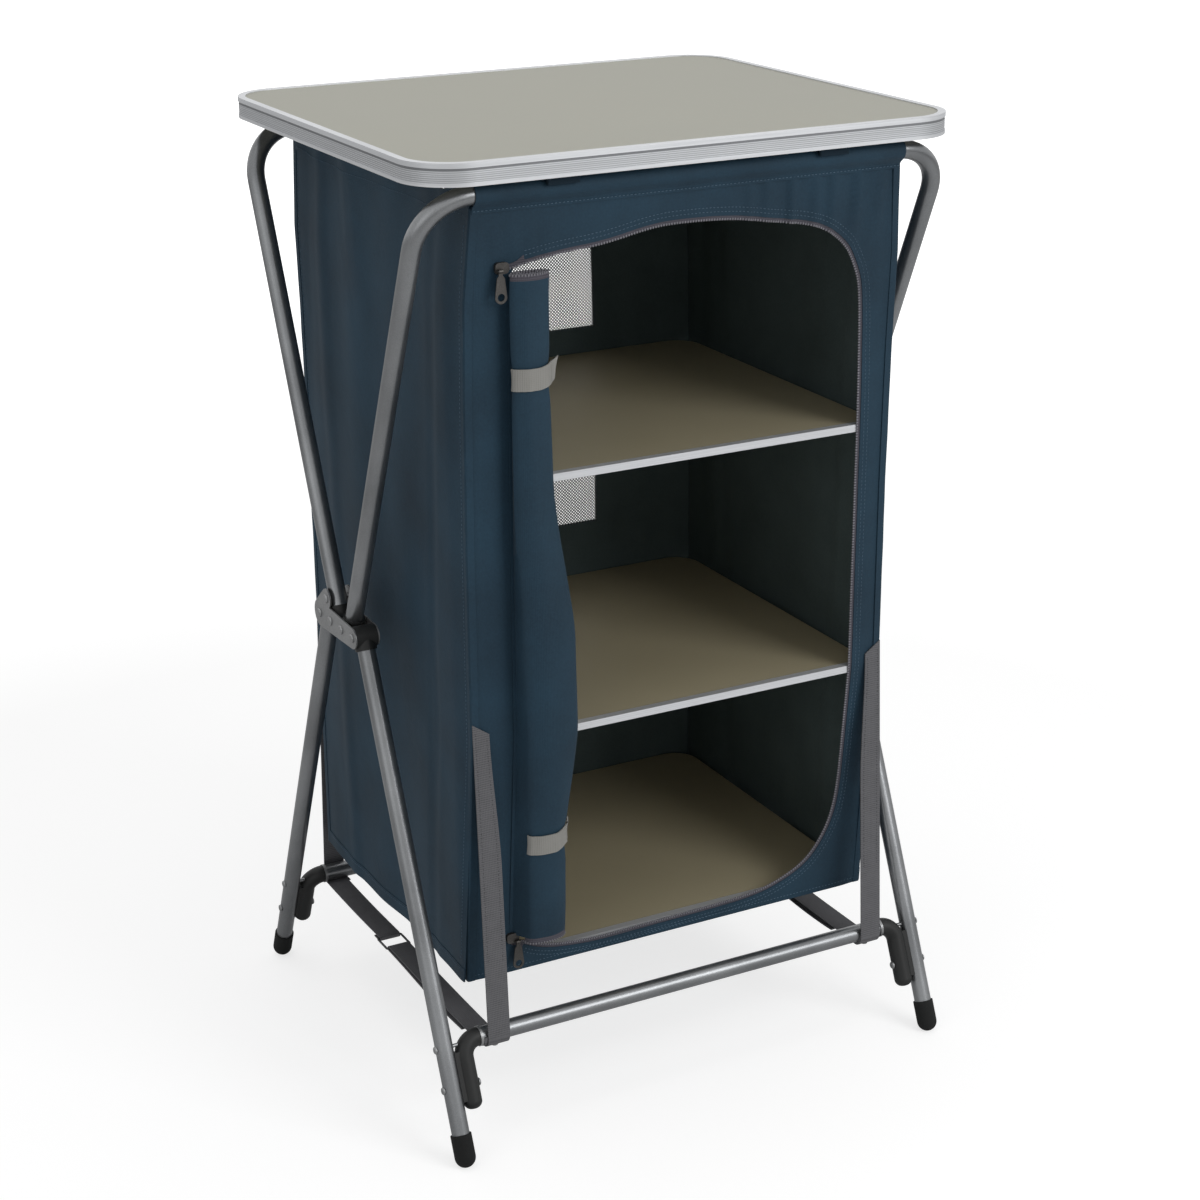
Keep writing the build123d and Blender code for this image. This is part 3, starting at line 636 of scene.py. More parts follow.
@dataclass(frozen=True)
class Finishes:
    """Every material of the unit, made once.

    Attributes:
        cloth: The cabinet's cloth, by how it lies.
        webbing: The straps' webbing, by how it lies.
        soft: Materials of the other new pieces.
        hard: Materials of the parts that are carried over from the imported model.
    """

    cloth: dict[Lie, Material]
    webbing: dict[Lie, Material]
    soft: dict[str, Material]
    hard: dict[str, Material]


def make_finishes() -> Finishes:
    """Makes the materials, each from what the real one is.

    Returns:
        The materials.
    """
    # polyester, woven and coated: matt navy
    cloth = [
        CoatedPolyester(
            f"coated_polyester_{lie.name.lower()}", "#203646", "#203b4c", "#162b39", 0.7,
            specular=0.25, lie=lie,
        )
        for lie in Lie
    ]
    # polypropylene webbing: dull mid grey with cross ribs
    webbing = [
        RibbedTape(
            f"webbing_{lie.name.lower()}", "#58585a", "#646467", "#4a4a4c", 0.8, specular=0.25, lie=lie
        )
        for lie in Lie
    ]
    soft = {
        # the cloth's coated back: greener and duller
        "lining": CoatedPolyester(
            "coated_polyester_back", "#4a5657", "#515e5f", "#434f4f", 0.75, specular=0.2
        ),
        # polyester tape of the door ties: pale grey and smoother
        "tie_tape": RibbedTape(
            "tie_tape", "#807f7a", "#8a8985", "#797873", 0.75, rib=0.002, cross=0, relief=0.15
        ),
        # knitted zip tape: dark violet grey
        "zip_tape": RibbedTape("zip_tape", "#3b3a42", "#46444d", "#2f2e35", 0.8, rib=0.0022),
        # nylon coil: mid grey with a dull shine
        "teeth": SpeckledCoat("nylon_coil", "#6f6e74", "#7b7a81", "#626167", 0.45, grain=0.002),
        # polyester thread: one shade lighter than the cloth
        "thread": SpeckledCoat("sewing_thread", "#41586a", "#4a6274", "#374d5e", 0.7, grain=0.001),
        # knitted polyester net: mid grey matt strands
        "net": SpeckledCoat("knitted_net", "#6e7172", "#7a7d7e", "#626566", 0.85, grain=0.003),
    }
    hard = {
        # die-cast zinc with a worn dark plating
        "zip_metal": SpeckledCoat(
            "plated_zinc_casting", "#4c4a48", "#575553", "#403e3c", 0.42, 0.8, grain=0.0015
        ),
        # steel wire dipped in black lacquer
        "buckle_metal": SpeckledCoat("lacquered_wire", "#2b2c2e", "#343537", "#242527", 0.35, 0.3),
        # steel tube, powder coated silver grey with flakes
        "tube": SpeckledCoat("silver_powder_coat", "#7d7f81", "#8b8d8f", "#6f7173", 0.3, 0.8, grain=0.0009),
        # extruded aluminium, brushed and anodised
        "aluminium": DrawnMetal("anodised_aluminium", "#c0c2c5", "#d6d8db", "#c9cbce", 0.42, 0.55),
        # the same metal, with shade painted into the hollows of its profile
        "table_edge": RibbedEdge("anodised_table_edge", "#c0c2c5", "#d6d8db", "#c9cbce", 0.42, 0.55),
        # steel sheet and screws, zinc plated
        "steel": SpeckledCoat("zinc_plated_steel", "#8a8c8d", "#98999a", "#7a7b7c", 0.4, 0.8, grain=0.0016),
        # nylon, injection moulded black
        "black_plastic": SpeckledCoat(
            "moulded_nylon", "#1f2020", "#252626", "#191a1a", 0.48, specular=0.3, grain=0.0008, relief=0.00008
        ),
        # rubber feet: matt black, a little dusty
        "foot_rubber": SpeckledCoat(
            "moulded_rubber", "#1c1d1d", "#222323", "#161717", 0.8, specular=0.2, grain=0.0014
        ),
        # nylon clips under the table top: matt, dyed nearly as dark as the cloth
        "clip_nylon": SpeckledCoat("dyed_nylon", "#1b2730", "#1f2c36", "#17222a", 0.85, specular=0.1),
        # fibreboard with a printed grey-beige melamine film: even, satin
        "table_laminate": SpeckledCoat(
            "melamine_film", "#9b9a8d", "#9f9e91", "#979689", 0.46,
            grain=0.001, relief=0.00005, cloud=0.3,
        ),
        # the same board in the shelves, a browner film
        "shelf_board": SpeckledCoat(
            "melamine_shelf_film", "#a39a80", "#a79e84", "#9f967c", 0.5,
            grain=0.001, relief=0.00005, cloud=0.3,
        ),
    }
    return Finishes(
        *({finish.lie: finish.make() for finish in kinds} for kinds in (cloth, webbing)),
        *({key: finish.make() for key, finish in kinds.items()} for kinds in (soft, hard)),
    )


# Shared shape of the cloth cabinet


@dataclass(frozen=True)
class CabinetShape:
    """Where the cabinet's cloth walls hang.

    Attributes:
        hem: Height of the lower hem.
        knee: Height of the middle shelf, where the front wall starts to draw in.
        seam: Height where the front and back walls meet their sleeves.
        steps: Heights between which the walls hang straight.
        knee_reach: How far the walls are from the middle at the knee.
        flare: How much farther out they are at the seam.
        tuck: How much nearer the front hem is.
        half_width: Half the width of the walls.
        taper: How much narrower each half is at the table top.
        shoulder: Height where that starts.
        table_top: Height of the table top.
        middle: From the inner face of a wall to the middle of its cloth.
        cloth: Thickness that is drawn for the cloth.
    """

    hem: float = 0.165
    knee: float = 0.444
    seam: float = 0.9936
    steps: tuple[float, ...] = (0.165, 0.444, 0.650, 0.800, 0.900, 0.9936)
    knee_reach: float = 0.20647
    flare: float = 0.01623
    tuck: float = 0.0255
    half_width: float = 0.244
    taper: float = 0.009
    shoulder: float = 0.900
    table_top: float = 1.040
    middle: float = 0.0006
    cloth: float = 0.0009

    def curve(self, z: float, rear: bool) -> float:
        """Reach of a wall on its smooth line.

        Args:
            z: Height.
            rear: Whether it is the back wall.

        Returns:
            The distance along Y.
        """
        if z >= self.knee:
            return self.knee_reach + self.flare * ((z - self.knee) / (self.seam - self.knee)) ** 3
        share = (self.knee - z) / (self.knee - self.hem)
        return self.knee_reach - (0.0 if rear else share * self.tuck)

    def reach(self, z: float, rear: bool = False) -> float:
        """Distance of a wall's inner face from the middle.

        Args:
            z: Height.
            rear: Whether it is the back wall.

        Returns:
            The distance along Y, straight between the wall's steps.
        """
        for low, high in zip(self.steps, self.steps[1:]):
            if z <= high:
                break
        share = min((z - low) / (high - low), 1.0)
        return self.curve(low, rear) * (1.0 - share) + self.curve(high, rear) * share

    def half(self, z: float) -> float:
        """Half the width of the cabinet at a height."""
        share = max((z - self.shoulder) / (self.table_top - self.shoulder), 0.0)
        return self.half_width - self.taper * share


SHAPE = CabinetShape()
# a zip's real teeth are 1.5 mm apart: drawn coarser, so that they show
TOOTH_PITCH = 0.003
STITCH_LENGTH = 0.0026
STITCH_PITCH = 0.0042
STITCH_RISE = SHAPE.cloth / 2 + 0.0001
HEM_STITCHES = (SHAPE.hem + 0.006, 0.24)
OUT_FRONT = Vector((0.0, -1.0, 0.0))
OUT_REAR = Vector((0.0, 1.0, 0.0))


def draw_out(piece: Piece, chosen: Callable[[Vector], bool], length: float) -> None:
    """Extrudes some faces of the active piece and stays in edit mode.

    Args:
        piece: A new primitive.
        chosen: Whether a face with that normal is extruded.
        length: How far.
    """
    bpy.ops.object.transform_apply(location=True, rotation=True, scale=True)
    bpy.ops.object.mode_set(mode="EDIT")
    bpy.ops.mesh.select_all(action="DESELECT")
    shape = bmesh.from_edit_mesh(piece.data)
    for face in shape.faces:
        face.select = chosen(face.normal)
    bmesh.update_edit_mesh(piece.data)
    bpy.ops.mesh.extrude_region_shrink_fatten(TRANSFORM_OT_shrink_fatten={"value": length})


def kept_mesh(piece: Piece) -> Mesh:
    """Mesh of a pattern, whose object is removed.

    Args:
        piece: The pattern's object.

    Returns:
        Its mesh.
    """
    mesh = piece.data.copy()
    bpy.data.objects.remove(piece)
    return mesh


def stitch_mesh() -> Mesh:
    """Models one stitch of thread along X, a six-sided rod that narrows at both ends.

    Returns:
        The stitch's mesh.
    """
    bpy.ops.object.select_all(action="DESELECT")
    bpy.ops.mesh.primitive_cylinder_add(
        vertices=6, radius=0.00036, depth=STITCH_LENGTH * 0.6, rotation=(0.0, math.pi / 2, 0.0)
    )
    rod = bpy.context.object
    draw_out(rod, lambda normal: abs(normal.x) > 0.9, STITCH_LENGTH * 0.2)
    bpy.ops.mesh.merge(type="COLLAPSE")
    bpy.ops.object.mode_set(mode="OBJECT")
    return kept_mesh(rod)


def tooth_mesh() -> Mesh:
    """Models one zip tooth: a rounded block with a narrower nose, along X, its nose towards -Y.

    Returns:
        The tooth's mesh.
    """
    bpy.ops.object.select_all(action="DESELECT")
    bpy.ops.mesh.primitive_cube_add(size=1.0)
    block = bpy.context.object
    block.scale = (0.0017, 0.0024, 0.0014)
    draw_out(block, lambda normal: normal.y < -0.9, 0.0007)
    bpy.ops.transform.resize(value=(0.6, 1.0, 0.6))
    bpy.ops.object.mode_set(mode="OBJECT")
    apply_modifier(block, "BEVEL", width=0.0003, segments=1)
    return kept_mesh(block)


@dataclass
class Stitching:
    """Rows of stitches, gathered up and made as one piece for each body.

    Attributes:
        finish: The thread.
    """

    finish: Material

    def __post_init__(self) -> None:
        """Models the stitch that all rows repeat."""
        self.pattern = stitch_mesh()

    def row(self, line: Points, out: Vector) -> list[Matrix]:
        """Places stitches along a line.

        Args:
            line: Points on the cloth's face.
            out: Direction out of the cloth.

        Returns:
            A matrix for each stitch.
        """
        even = evened(line, max(int(length_of(line) / STITCH_PITCH), 2))
        return [basis(a.lerp(b, 0.5), b - a, out) for a, b in zip(even, even[1:])]

    def make(self, name: str, places: Sequence[Matrix], body: str) -> Piece:
        """Makes a piece of stitches and lets it ride on a body.

        Args:
            name: Name of the piece.
            places: A matrix for each stitch.
            body: The body.

        Returns:
            The piece.
        """
        piece = copies(name, self.pattern, places, self.finish)
        settle(piece, "cloth", body)
        return piece


@dataclass
class SewnPart:
    """Part of the unit that is sewn from cloth or webbing.

    Attributes:
        finishes: The unit's materials.
        stitching: Maker of the stitch rows.
    """

    finishes: Finishes
    stitching: Stitching

    def build(self) -> None:
        """Builds the part's pieces."""
        raise NotImplementedError


# Front wall


@dataclass
class FrontWall(SewnPart):
    """Front cloth with its door opening, the zip round it and its seams.

    Attributes:
        zip_run: Corners of the zip's line from the upper left round to the lower left.
        corners: The two of them that the mesh's own right corners lie at.
        side_points: Points along each of the opening's four sides.
        rings: Rows of the mesh between the opening and the panel's outer edge.
        tape_inside: How far the zip tape shows inside the edge of the cloth.
        tape_under: How far it reaches under the cloth.
        tape_back: How far the tape's middle lies behind the wall's inner face.
        tape_over: How far it lies out of the cloth's middle at its left ends.
    """

    zip_run: tuple[tuple[float, float], ...] = (
        (-0.195, 0.935), (-0.148, 0.943), (-0.096, 0.947), (-0.050, 0.957), (-0.018, 0.9595),
        (0.045, 0.9576), (0.094, 0.949), (0.128, 0.944), (0.155, 0.9365), (0.1835, 0.9166),
        (0.1986, 0.889), (0.206, 0.862), (0.2105, 0.772), (0.2118, 0.652), (0.211, 0.515),
        (0.211, 0.450), (0.210, 0.366), (0.209, 0.287), (0.200, 0.247), (0.179, 0.213),
        (0.1505, 0.195), (0.107, 0.181), (0.034, 0.1784), (-0.042, 0.1774), (-0.093, 0.176),
        (-0.135, 0.180), (-0.163, 0.186), (-0.186, 0.1984), (-0.195, 0.199),
    )
    corners: tuple[tuple[float, float], ...] = ((0.1835, 0.9166), (0.179, 0.213))
    side_points: int = 170
    rings: int = 11
    tape_inside: float = 0.0042
    tape_under: float = 0.008
    tape_back: float = 0.0001
    tape_over: float = 0.0013

    def ripple(self, x: float, z: float) -> float:
        """How far the cloth stands out from its plain wall.

        Args:
            x: Place along the front.
            z: Height.

        Returns:
            The distance; it stays inwards where straps, sliders and the roll lie on the cloth.
        """
        # gathers under the sleeve, right of the middle
        gather = fade(x, 0.03, 0.10) * (1.0 - fade(x, 0.222, 0.240)) * hump(z, 0.962, 0.085)
        pleat = math.sin(x * 245.0 + 1.2 * math.sin(z * 31.0)) + 0.5 * math.sin(x * 401.0 + 0.6)
        top = 0.0024 * gather * pleat
        # slack beside the roll, along the right edge and between them
        slack = 0.0011 * (1.0 - fade(x, -0.19, -0.12)) * (1.0 - fade(z, 0.955, 0.985))
        left = slack * (math.sin(x * 330.0 + 3.0 * z) - 1.0) * 0.6
        right = 0.0008 * fade(x, 0.17, 0.215) * (math.sin(x * 300.0 + 4.2 * z + 1.0) - 1.0) * 0.5
        billow = 0.0009 * (noise(Vector((x * 9.0, 2.3, z * 6.0))) - 0.35) * fade(z, 0.18, 0.25)
        total = top + left + right + min(billow, 0.0002)
        # no farther inwards than the shelves' trims allow, and outwards before the bottom board's edge
        inwards = max(min(total, 0.0) * 0.6, -0.0009) * fade(z, 0.21, 0.30)
        lip = 0.0022 * hump(z, 0.184, 0.05) * fade(0.242 - abs(x), 0.0, 0.025)
        return max(total, 0.0) + inwards + lip

    def place(self, x: float, z: float, out: float = 0.0) -> Vector:
        """Point on the middle of the cloth, moved out of it by a distance."""
        return Vector((x, -(SHAPE.reach(z) + SHAPE.middle + self.ripple(x, z) + out), z))

    def sides(self) -> tuple[list[Points], list[Points]]:
        """Inner and outer edges of the panel.

        Returns:
            Four lines round the opening and the four that they face on the outside, left side
            first and clockwise, in the wall's plane.
        """
        count = self.side_points
        run = rounded(flat(self.zip_run))
        top, low = (
            min(range(len(run)), key=lambda n: abs(run[n].x - x) + abs(run[n].y - z)) for x, z in self.corners
        )
        lines = ([run[-1], run[0]], run[: top + 1], run[top : low + 1], run[low:])
        rise = flat([(SHAPE.half(z), z) for z in spread(SHAPE.hem, SHAPE.seam, count)])
        across = [
            flat([(x, z) for x in spread(-half, half, count)])
            for half, z in ((rise[-1].x, SHAPE.seam), (-rise[0].x, SHAPE.hem))
        ]
        outer = [flat([(-p.x, p.y) for p in rise]), across[0], rise[::-1], across[1]]
        return [evened(line, count) for line in lines], outer

    def make_panel(self) -> Piece:
        """Makes the front cloth.

        Returns:
            The cloth.
        """
        inner, outer = ([point for side in edge for point in side[:-1]] for edge in self.sides())
        rows = []
        for share in spread(0.0, 1.0, self.rings):
            ring = [a.lerp(b, share) for a, b in zip(inner, outer)]
            rows.append([self.place(point.x, point.y) for point in ring])
        panel = make_sheet("front_cloth", rows, SHAPE.cloth, self.finishes.cloth[Lie.FRONT], closed=True)
        settle(panel, "cloth", "front_wall", "front_panel")
        line_inside(panel, -OUT_FRONT, self.finishes.soft["lining"])
        return panel

    def zip_line(self, count: int) -> list[tuple[Vector, Vector, Vector]]:
        """Places along the zip.

        Args:
            count: How many.

        Returns:
            For each, its point, the direction of the run and the direction into the opening, in
            the wall's plane.
        """
        ends = flat([(-0.2015, 0.9335), (-0.1975, 0.2015)])
        run = evened([ends[0], *rounded(flat(self.zip_run))[1:-1], ends[1]], count)
        line = []
        for n, point in enumerate(run):
            ahead = (run[min(n + 1, count - 1)] - run[max(n - 1, 0)]).normalized()
            line.append((point, ahead, Vector((ahead.y, -ahead.x, 0.0))))
        return line

    def over(self, point: Vector) -> float:
        """1 at the zip's left ends, where it lies over the cloth, and 0 where it lies behind it."""
        return 1.0 - fade(point.x, -0.194, -0.172)

    def on_tape(self, point: Vector, inward: Vector, step: float) -> Vector:
        """Point on the zip, a step from its line into the opening."""
        there, behind = point + inward * step, -(SHAPE.middle + self.tape_back)
        return self.place(there.x, there.y, behind + self.over(point) * (self.tape_over - behind))

    def make_zip(self) -> list[Piece]:
        """Makes the zip tape and its teeth round the opening.

        Returns:
            Both pieces.
        """
        rows = []
        for point, _, inward in self.zip_line(420):
            under = self.tape_under + self.over(point) * (0.001 - self.tape_under)
            rows.append([self.on_tape(point, inward, step) for step in spread(-under, self.tape_inside, 5)])
        tape = make_sheet("zip_tape", rows, 0.0005, self.finishes.soft["zip_tape"])
        count = int(length_of([point for point, _, _ in self.zip_line(400)]) / TOOTH_PITCH)
        places = []
        for point, ahead, inward in self.zip_line(count):
            at = self.on_tape(point, inward, self.tape_inside - 0.0005)
            places.append(basis(at, Vector((ahead.x, 0.0, ahead.y)), OUT_FRONT))
        teeth = copies("zip_teeth", tooth_mesh(), places, self.finishes.soft["teeth"])
        settle(tape, "zip_tape", "front_wall", "zip_track")
        settle(teeth, "zip_tape", "front_wall")
        return [tape, teeth]

    def make_stitches(self) -> None:
        """Sews two rows round the opening and one along the hem."""
        places = []
        line = self.zip_line(600)[8:-8]
        for gap in (0.0042, 0.0085):
            row = [point - inward * gap for point, _, inward in line]
            places += self.stitching.row([self.place(p.x, p.y, STITCH_RISE) for p in row], OUT_FRONT)
        z, half = HEM_STITCHES
        hem = [self.place(x, z, STITCH_RISE) for x in spread(-half, half, 90)]
        places += self.stitching.row(hem, OUT_FRONT)
        self.stitching.make("front_stitches", places, "front_wall")

    def build(self) -> None:
        """Builds the front wall."""
        panel = self.make_panel()
        zip_pieces = self.make_zip()
        self.make_stitches()


# Corner seams, side walls, floor and shelf ledges


@dataclass
class SideWalls(SewnPart):
    """The two side walls with their folds and bands, the corner seams, the floor and the ledges.

    Attributes:
        top: Height of the upper edge.
        top_reach: How far the upper edge reaches along Y.
        corner_rise: How much higher the upper edge is drawn up at the sleeves.
        gap: From the end walls to the side walls' ends.
        ledge_tops: Heights of the shelves' ledges.
        ledge_fronts: Where each ledge starts along Y.
        ledge_rear: Where they end.
        floor_half: Half the width of the floor.
        keep: Depth that is left of the walls when the frame is folded as far as it goes; not used.
    """

    top: float = 1.001
    top_reach: float = 0.2134
    corner_rise: float = 0.012
    gap: float = 0.0003
    ledge_tops: tuple[float, ...] = (0.7089, 0.4359, 0.1739)
    ledge_fronts: tuple[float, ...] = (-0.1974, -0.1959, -0.1720)
    ledge_rear: float = 0.20397
    floor_half: float = 0.241
    keep: float = 0.13

    def fold(self, side: int, y: float, z: float) -> float:
        """How far a side wall stands out from its plain plane.

        Args:
            side: -1 for the left, 1 for the right.
            y: Place along its depth.
            z: Height.

        Returns:
            The distance.
        """
        edge = fade(0.2065 - abs(y), 0.0, 0.035)
        slow = math.sin(y * 22.0 + 0.8 * side + 1.4 * z)
        drape = math.sin(y * 61.0 + 2.6 * z * side + 0.7) * (0.4 + 0.6 * fade(z, 0.45, 0.95))
        down = 1.0 - z
        crease = hump(y - 0.145 + 0.04 * down, 0.0, 0.022) - hump(y + 0.150 - 0.06 * down, 0.0, 0.018)
        slant = hump(y - 0.05 + 0.35 * (0.93 - z), 0.0, 0.03) * fade(z, 0.72, 0.95)
        bulge = 0.0022 + 0.0022 * slow + 0.0012 * drape + 0.0016 * crease + 0.0014 * slant
        bulge += 0.0018 * noise(Vector((side * 3.0, y * 14.0, z * 6.0)))
        return edge * min(max(bulge, -0.0009), 0.0065)

    def end(self, z: float, rear: bool) -> float:
        """Where the side walls end along Y at a height.

        Args:
            z: Height.
            rear: Whether it is at the back.

        Returns:
            The distance from the middle.
        """
        reach = SHAPE.reach(min(z, SHAPE.seam), rear) - self.gap
        share = max((z - SHAPE.seam) / (self.top - SHAPE.seam), 0.0)
        return reach * (1.0 - share) + self.top_reach * share

    def place(self, side: int, share: float, z: float, out: float = 0.0) -> Vector:
        """Point on a side wall, at a share of its depth from the front.

        Args:
            side: -1 for the left, 1 for the right.
            share: Share of its depth.
            z: Height.
            out: Distance outwards.

        Returns:
            The point.
        """
        y = -self.end(z, False) * (1.0 - share) + self.end(z, True) * share
        x = SHAPE.half(z) + SHAPE.middle + self.fold(side, y, z) + out
        rise = self.corner_rise * fade(abs(y), 0.165, 0.2) * fade(z, self.top - 0.03, self.top)
        return Vector((side * x, y, z + rise))

    def hang(self, piece: Piece, *nodes: str) -> None:
        """Lets a piece hang from the back wall, with a mesh of its own."""
        settle(piece, "cloth", "back_wall", *nodes)
        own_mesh(piece)

    def make_wall(self, side: int, node: str) -> None:
        """Makes one side wall with its upper band, its hem and their stitches.

        Args:
            side: -1 for the left, 1 for the right.
            node: Node that it stands for.
        """
        hem, top = SHAPE.hem, self.top
        pieces = []
        for part, low, high, count, rise, thickness in (
            ("cloth", hem, top, 130, 0.0, SHAPE.cloth), ("band", top - 0.022, top, 6, 0.0009, 0.0008),
            ("hem", hem, hem + 0.016, 5, 0.0008, 0.0007),
        ):
            rows = [
                [self.place(side, share, z, rise) for share in spread(0.0, 1.0, 84)]
                for z in spread(low, high, count)
            ]
            pieces.append(make_sheet(f"{node}_{part}", rows, thickness, self.finishes.cloth[Lie.SIDE]))
        out = Vector((float(side), 0.0, 0.0))
        level = [
            [self.place(side, share, z, STITCH_RISE + rise) for share in spread(0.02, 0.98, 100)]
            for z, rise in ((top - 0.020, 0.0010), (hem + 0.013, 0.0008))
        ]
        upright = [
            [self.place(side, share, z, STITCH_RISE) for z in spread(0.19, 0.975, 120)]
            for share in (0.022, 0.978)
        ]
        places = [place for line in level + upright for place in self.stitching.row(line, out)]
        stitches = self.stitching.make(f"{node}_stitches", places, "back_wall")
        wall, band, hem_band = pieces
        self.hang(wall, node)
        for piece in (band, hem_band, stitches):
            self.hang(piece)
        line_inside(wall, -out, self.finishes.soft["lining"])

    def make_corner(self, side: int, rear: bool) -> None:
        """Makes the bound seam down one corner of the cabinet.

        Args:
            side: -1 for the left, 1 for the right.
            rear: Whether it is at the back.
        """
        end = 1 if rear else -1
        rows = []
        for z in spread(SHAPE.hem, SHAPE.seam - 0.002, 110):
            reach, half = SHAPE.reach(z, rear), SHAPE.half(z)
            lean = 0.0004 * noise(Vector((side * 5.0, end * 4.0, z * 25.0)))
            plan = (
                (-0.0065, 0.0015), (-0.0015, 0.0016 + lean), (0.0008, 0.0015), (0.0018 + lean, 0.0002),
                (0.0017, -0.0022), (0.0015, -0.0065),
            )
            rows.append([Vector((side * (half + x), end * (reach + y), z)) for x, y in plan])
        name = f"corner_{'rear' if rear else 'front'}_{'left' if side < 0 else 'right'}"
        corner = make_sheet(name, rows, 0.0005, self.finishes.cloth[Lie.SIDE])
        settle(corner, "cloth", "back_wall" if rear else "front_wall")

    def make_floor(self) -> None:
        """Makes the cloth floor, which sags a little between its seams."""
        front, rear = (SHAPE.reach(SHAPE.hem, at_rear) - self.gap for at_rear in (False, True))
        rows = []
        for y in spread(-front, rear, 44):
            row = []
            for x in spread(-self.floor_half, self.floor_half, 56):
                across = math.cos(x / self.floor_half * math.pi / 2)
                along = math.sin((y + front) / (front + rear) * math.pi)
                sag = 0.0035 * max(across, 0.0) ** 0.6 * max(along, 0.0) ** 0.6
                wave = 0.0008 * noise(Vector((x * 14.0, y * 14.0, 7.0))) * across * along
                row.append(Vector((x, y, SHAPE.hem + 0.0006 - sag + wave)))
            rows.append(row)
        floor = make_sheet("floor_cloth", rows, SHAPE.cloth, self.finishes.cloth[Lie.LEVEL])
        line_inside(floor, Vector((0.0, 0.0, 1.0)), self.finishes.soft["lining"])
        self.hang(floor, "floor_panel")

    def make_ledges(self) -> None:
        """Makes the folded strips on the side walls that carry the shelves' side edges."""
        strips = []
        for side in (-1, 1):
            for top, front in zip(self.ledge_tops, self.ledge_fronts):
                foot = max(top - 0.015, SHAPE.hem + 0.0015)
                section = (
                    (0.2385, top - 0.0004), (0.2408, top - 0.0003), (0.2423, top - 0.0005),
                    (0.2427, top - 0.0015), (0.2426, (top + foot) / 2), (0.2425, foot),
                )
                rows = [
                    [Vector((side * x, y, z)) for x, z in section] for y in spread(front, self.ledge_rear, 40)
                ]
                strips.append(make_sheet("ledge", rows, 0.0007, self.finishes.cloth[Lie.SIDE]))
        self.hang(joined(strips, "ledge_strips"), "shelf_ledges")

    def build(self) -> None:
        """Builds the side walls, the corner seams, the floor and the ledges."""
        for side, node in ((-1, "left_wall"), (1, "right_wall")):
            self.make_wall(side, node)
            for rear in (False, True):
                self.make_corner(side, rear)
        self.make_floor()
        self.make_ledges()


# Back wall and its nets


